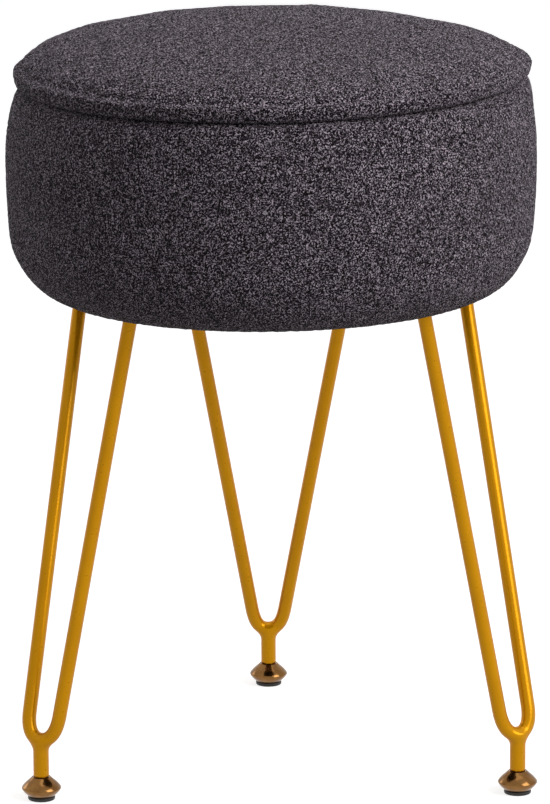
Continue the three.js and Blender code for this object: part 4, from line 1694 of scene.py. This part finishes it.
@dataclass
class Leg:
    """A hairpin leg: one bent rod welded to its glide socket, and the turned glide under it."""

    side: Side
    foot_circle: float = 176.6 * MM
    rod_radius: float = 4.5 * MM
    bend_height: float = 39.5 * MM
    bend_rise: float = 16.5 * MM
    bend_half_width: float = 11.5 * MM
    arm_half_spread: float = 57.7 * MM
    arm_pull_share: float = 1.0
    floor_pull_share: float = 0.6
    bend_turn: float = 26.4
    plate_turn: float = 14.4
    plate_shift: float = 11.6
    plate_reach: float = 127.6 * MM
    plate_end: float = 54.7 * MM
    plate_underside: float = 321.7 * MM
    clearance: float = 0.3 * MM
    socket_bottom: float = 15.2 * MM
    socket_radius: float = 5 * MM
    bore_radius: float = 3.3 * MM
    bore_top: float = 31.2 * MM
    weld_size: float = 4.5 * MM
    bend_steps: int = 48
    arm_spacing: float = 6 * MM
    rod_columns: int = 24
    socket_columns: int = 48
    voxel: float = 0.8 * MM
    end_height: float = 1.2 * MM
    top_height: float = 1.5 * MM
    probe: float = 0.02 * MM
    rounds: int = 3
    least_slope: float = 0.25
    gold: PowderCoat = field(default_factory=PowderCoat)

    def foot(self) -> Array:
        """The (x, y) of the glide's axis."""
        return box_middle(f"glide_cap_{self.side.label}")

    def to_stool(self, points: Array) -> Array:
        """Points from the leg's frame, X outwards from the foot, turned and moved to the stool's frame."""
        c, s = math.cos(self.side.azimuth), math.sin(self.side.azimuth)
        x, y = self.foot()
        out, along, height = np.moveaxis(points, -1, 0)
        return np.stack([x + c * out - s * along, y + s * out + c * along, height], axis=-1)

    def rod_line(self) -> Array:
        """The rod's centre line from one arm's top, down and round the bend, to the other's.

        The arms are straight. Each half of the bend is a cubic curve from an arm's end to the bend's lowest
        point, pulled on along the arm and out along the bend.

        Returns:
            Points (n, 3) in the stool's frame, close together in the bend.
        """
        hand = self.side.hand
        turns = (-hand * self.plate_shift, 90 - hand * self.plate_turn, 90 + hand * self.bend_turn)
        out, along_plate, along_bend = (
            np.array([math.cos(turn), math.sin(turn), 0]) for turn in map(math.radians, turns)
        )
        between = math.radians(90 - self.plate_turn + self.plate_shift)
        circle = math.sqrt(self.plate_reach**2 - (self.plate_end * math.sin(between)) ** 2)
        circle -= self.plate_end * math.cos(between)
        middle = circle * out + [-self.foot_circle, 0, self.plate_underside]
        bottom = np.array([0, 0, self.bend_height])
        lean = middle - bottom
        crook = bottom + lean * (self.bend_rise / lean[2])
        t = np.linspace(0, 1, self.bend_steps + 1)[:, None]
        halves = []
        for sign in (-1, 1):
            start = crook + sign * self.bend_half_width * along_bend
            top = middle + sign * self.arm_half_spread * along_plate
            down = (start - top) / np.linalg.norm(start - top)
            pull = start + down * self.arm_pull_share * self.bend_half_width
            floor_pull = bottom + sign * self.floor_pull_share * self.bend_half_width * along_bend
            curve = (1 - t) ** 3 * start + 3 * (1 - t) ** 2 * t * pull
            curve = curve + 3 * (1 - t) * t**2 * floor_pull + t**3 * bottom
            arm_top = top - down * (self.clearance / -down[2])
            halves.append(np.concatenate([arm_top[None], curve]))
        return self.to_stool(np.concatenate([halves[0], halves[1][-2::-1]]))

    def rod_distance(self, points: Array, line: Array) -> Array:
        """Distance from points to the rod's surface: that to its line's nearest stretch, less its radius."""
        nearest = np.full(len(points), np.inf)
        for a, b in zip(line[:-1], line[1:], strict=True):
            way = b - a
            t = np.clip(((points - a) @ way) / (way @ way), 0, 1)
            nearest = np.minimum(nearest, np.linalg.norm(points - a - t[:, None] * way, axis=1))
        return nearest - self.rod_radius

    def welded_distance(self, points: Array, line: Array) -> Array:
        """Distance to rod and socket as one welded form.

        It is the smaller of the two distances, less a quarter of the weld's size times the square of what is
        left of 1 after their difference over that size, which is the fillet of weld metal between them.
        """
        rod = self.rod_distance(points, line)
        x, y = self.foot()
        away = np.hypot(points[:, 0] - x, points[:, 1] - y) - self.socket_radius
        above = points[:, 2] - self.bend_height
        socket = np.where(above > 0, np.hypot(np.maximum(away, 0), above), away)
        left = np.clip(1 - np.abs(rod - socket) / self.weld_size, 0, 1)
        return np.minimum(rod, socket) - self.weld_size / 4 * left**2

    def swept(self, line: Array) -> Array:
        """The rod as a round tube along its line, a grid closed by a point at each end.

        Each ring lies in the plane across the line: the line's point plus the radius times a turning mix of
        the direction across the leg and the one square to it and to the line.
        """
        along = np.gradient(line, axis=0)
        along /= np.linalg.norm(along, axis=1, keepdims=True)
        plane = np.cross(line[0] - line[len(line) // 2], line[-1] - line[len(line) // 2])
        first = np.broadcast_to(plane / np.linalg.norm(plane), along.shape)
        second = np.cross(along, first)
        second /= np.linalg.norm(second, axis=1, keepdims=True)
        first = np.cross(second, along)
        ways = turn_directions(self.rod_columns)
        around = ways[None, :, :1] * first[:, None] + ways[None, :, 1:] * second[:, None]
        rings = line[:, None] + self.rod_radius * around
        low, high = (np.broadcast_to(line[end], (1, *rings.shape[1:])) for end in (0, -1))
        return np.concatenate([low, rings, high])

    def build_frame(self) -> None:
        """Makes rod and socket as one welded piece: joined by a fine remesh, then set on the welded form."""
        label = self.side.label
        line = self.rod_line()
        first_arm, last_arm = (even_steps(arm, self.arm_spacing) for arm in (line[:2], line[-2:]))
        rod = grid_surface(self.swept(np.concatenate([first_arm[:-1], line[1:-2], last_arm]))).flipped()
        top = self.bend_height
        profile = np.array(
            [
                [self.bore_radius, self.socket_bottom],
                [self.socket_radius, self.socket_bottom],
                [self.socket_radius, top],
                [0, top],
                [0, self.bore_top],
                [self.bore_radius, self.bore_top],
                [self.bore_radius, self.socket_bottom],
            ]
        )
        socket = grid_surface(turned(profile, self.socket_columns, self.foot()))
        mesh = rod.joined(socket).mesh(f"leg_{label}")
        piece = new_piece(f"leg_{label}", mesh, self.gold)
        remesh = piece.modifiers.new("join", "REMESH")
        remesh.mode = "VOXEL"
        remesh.voxel_size = self.voxel
        joined = settled(piece)
        bpy.data.meshes.remove(mesh)
        joined.name = piece.name
        points = self.on_weld(mesh_points(joined), line)
        joined.vertices.foreach_set("co", points.astype(np.float32).ravel())
        joined.polygons.foreach_set("use_smooth", np.ones(len(joined.polygons), bool))
        joined.update()
        place_piece(piece, "stool_base", (f"hairpin_{label}", f"glide_socket_{label}"))

    def on_weld(self, points: Array, line: Array) -> Array:
        """Moves points to the welded form, by a few steps along its steepest way.

        Args:
            points: the joined mesh's points (n, 3).
            line: the rod's centre line.

        Returns:
            The points again. Each step is the distance over the slope's square, times the slope. Those of the
            bore and of the ends stay.
        """
        x, y = self.foot()
        radius = np.hypot(points[:, 0] - x, points[:, 1] - y)
        bore = (radius < self.bore_radius + self.voxel) & (points[:, 2] < self.bore_top + self.voxel)
        low = points[:, 2] < self.socket_bottom + self.end_height
        high = points[:, 2] > self.plate_underside - self.top_height
        free = ~(bore | low | high)
        moving = points[free]
        for _ in range(self.rounds):
            here = self.welded_distance(moving, line)
            further = [self.welded_distance(moving + self.probe * axis, line) for axis in np.eye(3)]
            slope = (np.stack(further, axis=-1) - here[:, None]) / self.probe
            moving = moving - (here / np.maximum((slope**2).sum(1), self.least_slope))[:, None] * slope
        points[free] = moving
        return points


@dataclass
class Glide:
    """A levelling glide: a moulded pad, a turned cap on it and the threaded stem that screws into the leg."""

    side: Side
    pad_radius: float = 8.7 * MM
    pad_height: float = 2.5 * MM
    pad_rounding: float = 0.8 * MM
    pad_chamfer: float = 0.4 * MM
    boss_radius: float = 6 * MM
    boss_height: float = 2 * MM
    cap_radius: float = 12.6 * MM
    cap_height: float = 12.1 * MM
    clearance: float = 0.3 * MM
    stem_radius: float = 3 * MM
    stem_in_cap: float = 7.5 * MM
    stem_in_socket: float = 14 * MM
    thread_pitch: float = 1 * MM
    thread_depth: float = 0.45 * MM
    cap_shares: tuple = (
        (0.7, 0), (0.75, 0.05), (0.91, 0.22), (1, 0.37), (1, 0.44),
        (0.94, 0.54), (0.79, 0.71), (0.62, 0.86), (0.48, 1),
    )
    cap_steps: int = 8
    pad_steps: int = 6
    thread_steps: int = 6
    columns: int = 72
    stem_columns: int = 32
    brass: AntiqueBrass = field(default_factory=AntiqueBrass)
    plastic: MouldedPlastic = field(default_factory=MouldedPlastic)
    zinc: ZincPlate = field(default_factory=ZincPlate)

    def cap_line(self) -> Array:
        """The cap's closed outline: up its turned side, over its top, down the bore and the pad's recess."""
        bottom = self.pad_height + self.clearance
        shares = np.array(self.cap_shares)
        side = np.stack([shares[:, 0] * self.cap_radius, bottom + shares[:, 1] * self.cap_height], axis=-1)
        belly = curve_through(side[1:-1], self.cap_steps)
        top = bottom + self.cap_height
        bore = self.stem_radius + self.clearance
        bore_bottom = top - self.stem_in_cap
        recess = self.boss_radius + self.clearance
        recess_top = bottom + self.boss_height
        inside = np.array(
            [
                [bore, top], [bore, bore_bottom], [0, bore_bottom], [0, recess_top],
                [recess, recess_top], [recess, bottom], [side[0, 0], bottom],
            ]
        )
        return np.concatenate([side[:1], belly, side[-1:], inside])

    def stem_line(self) -> Array:
        """The stem's outline, its thread drawn as rings one pitch apart.

        The radius is the stem's less a share of the thread's depth that swings between 0 and 1 once a pitch.
        """
        low = self.pad_height + self.clearance + self.cap_height - self.stem_in_cap + self.clearance
        high = self.pad_height + 2 * self.clearance + self.cap_height + self.stem_in_socket
        z = np.arange(low, high, self.thread_pitch / self.thread_steps)
        swing = 0.5 - 0.5 * np.cos(TURN * z / self.thread_pitch)
        radius = self.stem_radius - self.thread_depth * swing
        ends = np.array([[0, low]]), np.array([[self.stem_radius - self.thread_depth, high], [0, high]])
        return np.concatenate([ends[0], np.stack([radius, z], -1), ends[1]])

    def pad_line(self) -> Array:
        """The pad's outline: a disc with a rounded lower edge, and the boss that the cap turns on."""
        rounding = self.pad_rounding
        edge = arc((self.pad_radius - rounding, rounding), rounding, -90, 0, self.pad_steps)
        top = np.array(
            [
                [self.pad_radius, self.pad_height - self.pad_chamfer],
                [self.pad_radius - self.pad_chamfer, self.pad_height],
                [self.boss_radius, self.pad_height],
                [self.boss_radius, self.pad_height + self.boss_height],
                [0, self.pad_height + self.boss_height],
            ]
        )
        return np.concatenate([[[0, 0]], edge, top])

    def build(self) -> None:
        """Makes the three turned pieces."""
        label = self.side.label
        centre = box_middle(f"glide_cap_{label}")
        cap = lathe_piece(f"cap_{label}", self.cap_line(), self.columns, centre, self.brass)
        place_piece(cap, f"{label}_glide", (f"glide_cap_{label}",))
        stem = lathe_piece(f"stem_{label}", self.stem_line(), self.stem_columns, centre, self.zinc)
        place_piece(stem, f"{label}_glide", (f"glide_stem_{label}",))
        pad = lathe_piece(f"pad_{label}", self.pad_line(), self.columns, centre, self.plastic)
        place_piece(pad, f"{label}_foot", (f"glide_pad_{label}",))


@dataclass
class Solids:
    """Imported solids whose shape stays: each takes a finish by the start of its name."""

    finishes: dict[str, Finish] = field(
        default_factory=lambda: {
            "drum_wall": BentPlywood(),
            "rim_ring": FibreBoard(),
            "base_board": FibreBoard(),
            "lid_board": FibreBoard(),
            "leg_plate": PowderCoat(),
            "tee_nut": ZincPlate(),
            "lid_screw": ZincPlate(),
        }
    )

    def dress(self, nodes: dict[str, bpy.types.Object]) -> None:
        """Puts each finish on the solids whose names start with its key."""
        for start, finish in self.finishes.items():
            for name, node in nodes.items():
                if name.startswith(start) and not node.hide_render:
                    for slot in node.material_slots:
                        slot.material = finish.material()
                    log.info("%s dressed in %s", name, finish.name)


@dataclass
class Studio:
    """The floor, the lamps and the camera."""

    view_distance: float = 3.78
    elevation: float = 13.0
    azimuth: float = -1.54
    roll: float = -0.3
    target: tuple = (0.6 * MM, 0.0, 239.2 * MM)
    focal_pixels: float = 5833.0
    picture_height: int = 804
    sensor: float = 36.0
    ambient: float = 0.26
    key_power: float = 54.0
    key_size: float = 2.0
    key_place: tuple = (2.15, -1.6, 1.9)
    rim_power: float = 5.0
    rim_size: float = 0.9
    rim_place: tuple = (-2.1, 1.5, 0.9)
    top_power: float = 7.0
    top_size: float = 1.6
    top_place: tuple = (0.2, 0.1, 2.6)
    aim_height: float = 0.36
    sight: float = 50.0
    floor_half: float = 30.0
    floor_drop: float = 0.2 * MM

    def camera(self, axis: Array) -> None:
        """Stands the camera where the photograph was taken: at an azimuth and elevation from the target."""
        e, a = math.radians(self.elevation), math.radians(self.azimuth)
        target = Vector((*axis, 0)) + Vector(self.target)
        back = Vector((math.sin(a) * math.cos(e), -math.cos(a) * math.cos(e), math.sin(e)))
        right = Vector((0, 0, 1)).cross(back).normalized()
        up = back.cross(right)
        r = math.radians(self.roll)
        right, up = right * math.cos(r) + up * math.sin(r), up * math.cos(r) - right * math.sin(r)
        place = target + back * self.view_distance
        data = bpy.data.cameras.new("camera")
        data.sensor_width = self.sensor
        data.lens = self.focal_pixels * self.sensor / self.picture_height
        data.clip_end = self.sight
        eye = linked("camera", data)
        turn = Matrix((right, up, back)).transposed().to_4x4()
        eye.matrix_world = Matrix.Translation(place) @ turn
        bpy.context.scene.camera = eye

    def lamp(self, name: str, power: float, size: float, place: tuple, aim: Vector) -> None:
        """Adds one square soft lamp.

        Args:
            name: the lamp's name.
            power: watts.
            size: the side of its square.
            place: where it hangs.
            aim: the point that it faces.
        """
        data = bpy.data.lights.new(name, "AREA")
        data.energy, data.size = power, size
        lamp = linked(name, data)
        lamp.location = place
        lamp.rotation_euler = (aim - Vector(place)).to_track_quat("-Z", "Y").to_euler()

    def floor(self) -> None:
        """A wide square floor, a hair below the feet."""
        half, low = self.floor_half, -self.floor_drop
        grid = np.array([[[-half, -half, low], [half, -half, low]], [[-half, half, low], [half, half, low]]])
        new_piece("floor", grid_surface(grid).mesh("floor"), WhitePaper())

    def surroundings(self) -> None:
        """White to the camera and in reflections, and a plain soft light on everything else."""
        world = bpy.data.worlds.new("studio")
        bpy.context.scene.world = world
        world.use_nodes = True
        tree = world.node_tree
        tree.nodes.clear()
        white = add_node(tree, "ShaderNodeBackground", {"Color": "#ffffff", "Strength": 1.0})
        soft = add_node(tree, "ShaderNodeBackground", {"Color": "#ffffff", "Strength": self.ambient})
        both = add_node(tree, "ShaderNodeMixShader", links={0: seen_rays(tree), 1: (soft, 0), 2: (white, 0)})
        add_node(tree, "ShaderNodeOutputWorld", links={"Surface": (both, 0)})

    def build(self, axis: Array) -> None:
        """Sets up the camera, the floor, the surroundings and the lamps."""
        self.camera(axis)
        self.floor()
        self.surroundings()
        aim = Vector((*axis, self.aim_height))
        self.lamp("key", self.key_power, self.key_size, self.key_place, aim)
        self.lamp("rim", self.rim_power, self.rim_size, self.rim_place, aim)
        self.lamp("top", self.top_power, self.top_size, self.top_place, aim)


def main() -> None:
    """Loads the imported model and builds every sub-assembly in order."""
    logging.basicConfig(level=logging.INFO, format="%(name)s: %(message)s")
    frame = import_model()
    bpy.context.scene.view_settings.view_transform = "Standard"
    axis = box_middle("drum_wall")
    Studio().build(axis)
    fabric = Fabric()
    Drum(fabric).build()
    Lid(fabric).build()
    Linings().build()
    LegBolts().build()
    for side in Side:
        Leg(side).build_frame()
        Glide(side).build()
    Solids().dress(frame["nodes"])


if __name__ == "__main__":
    main()
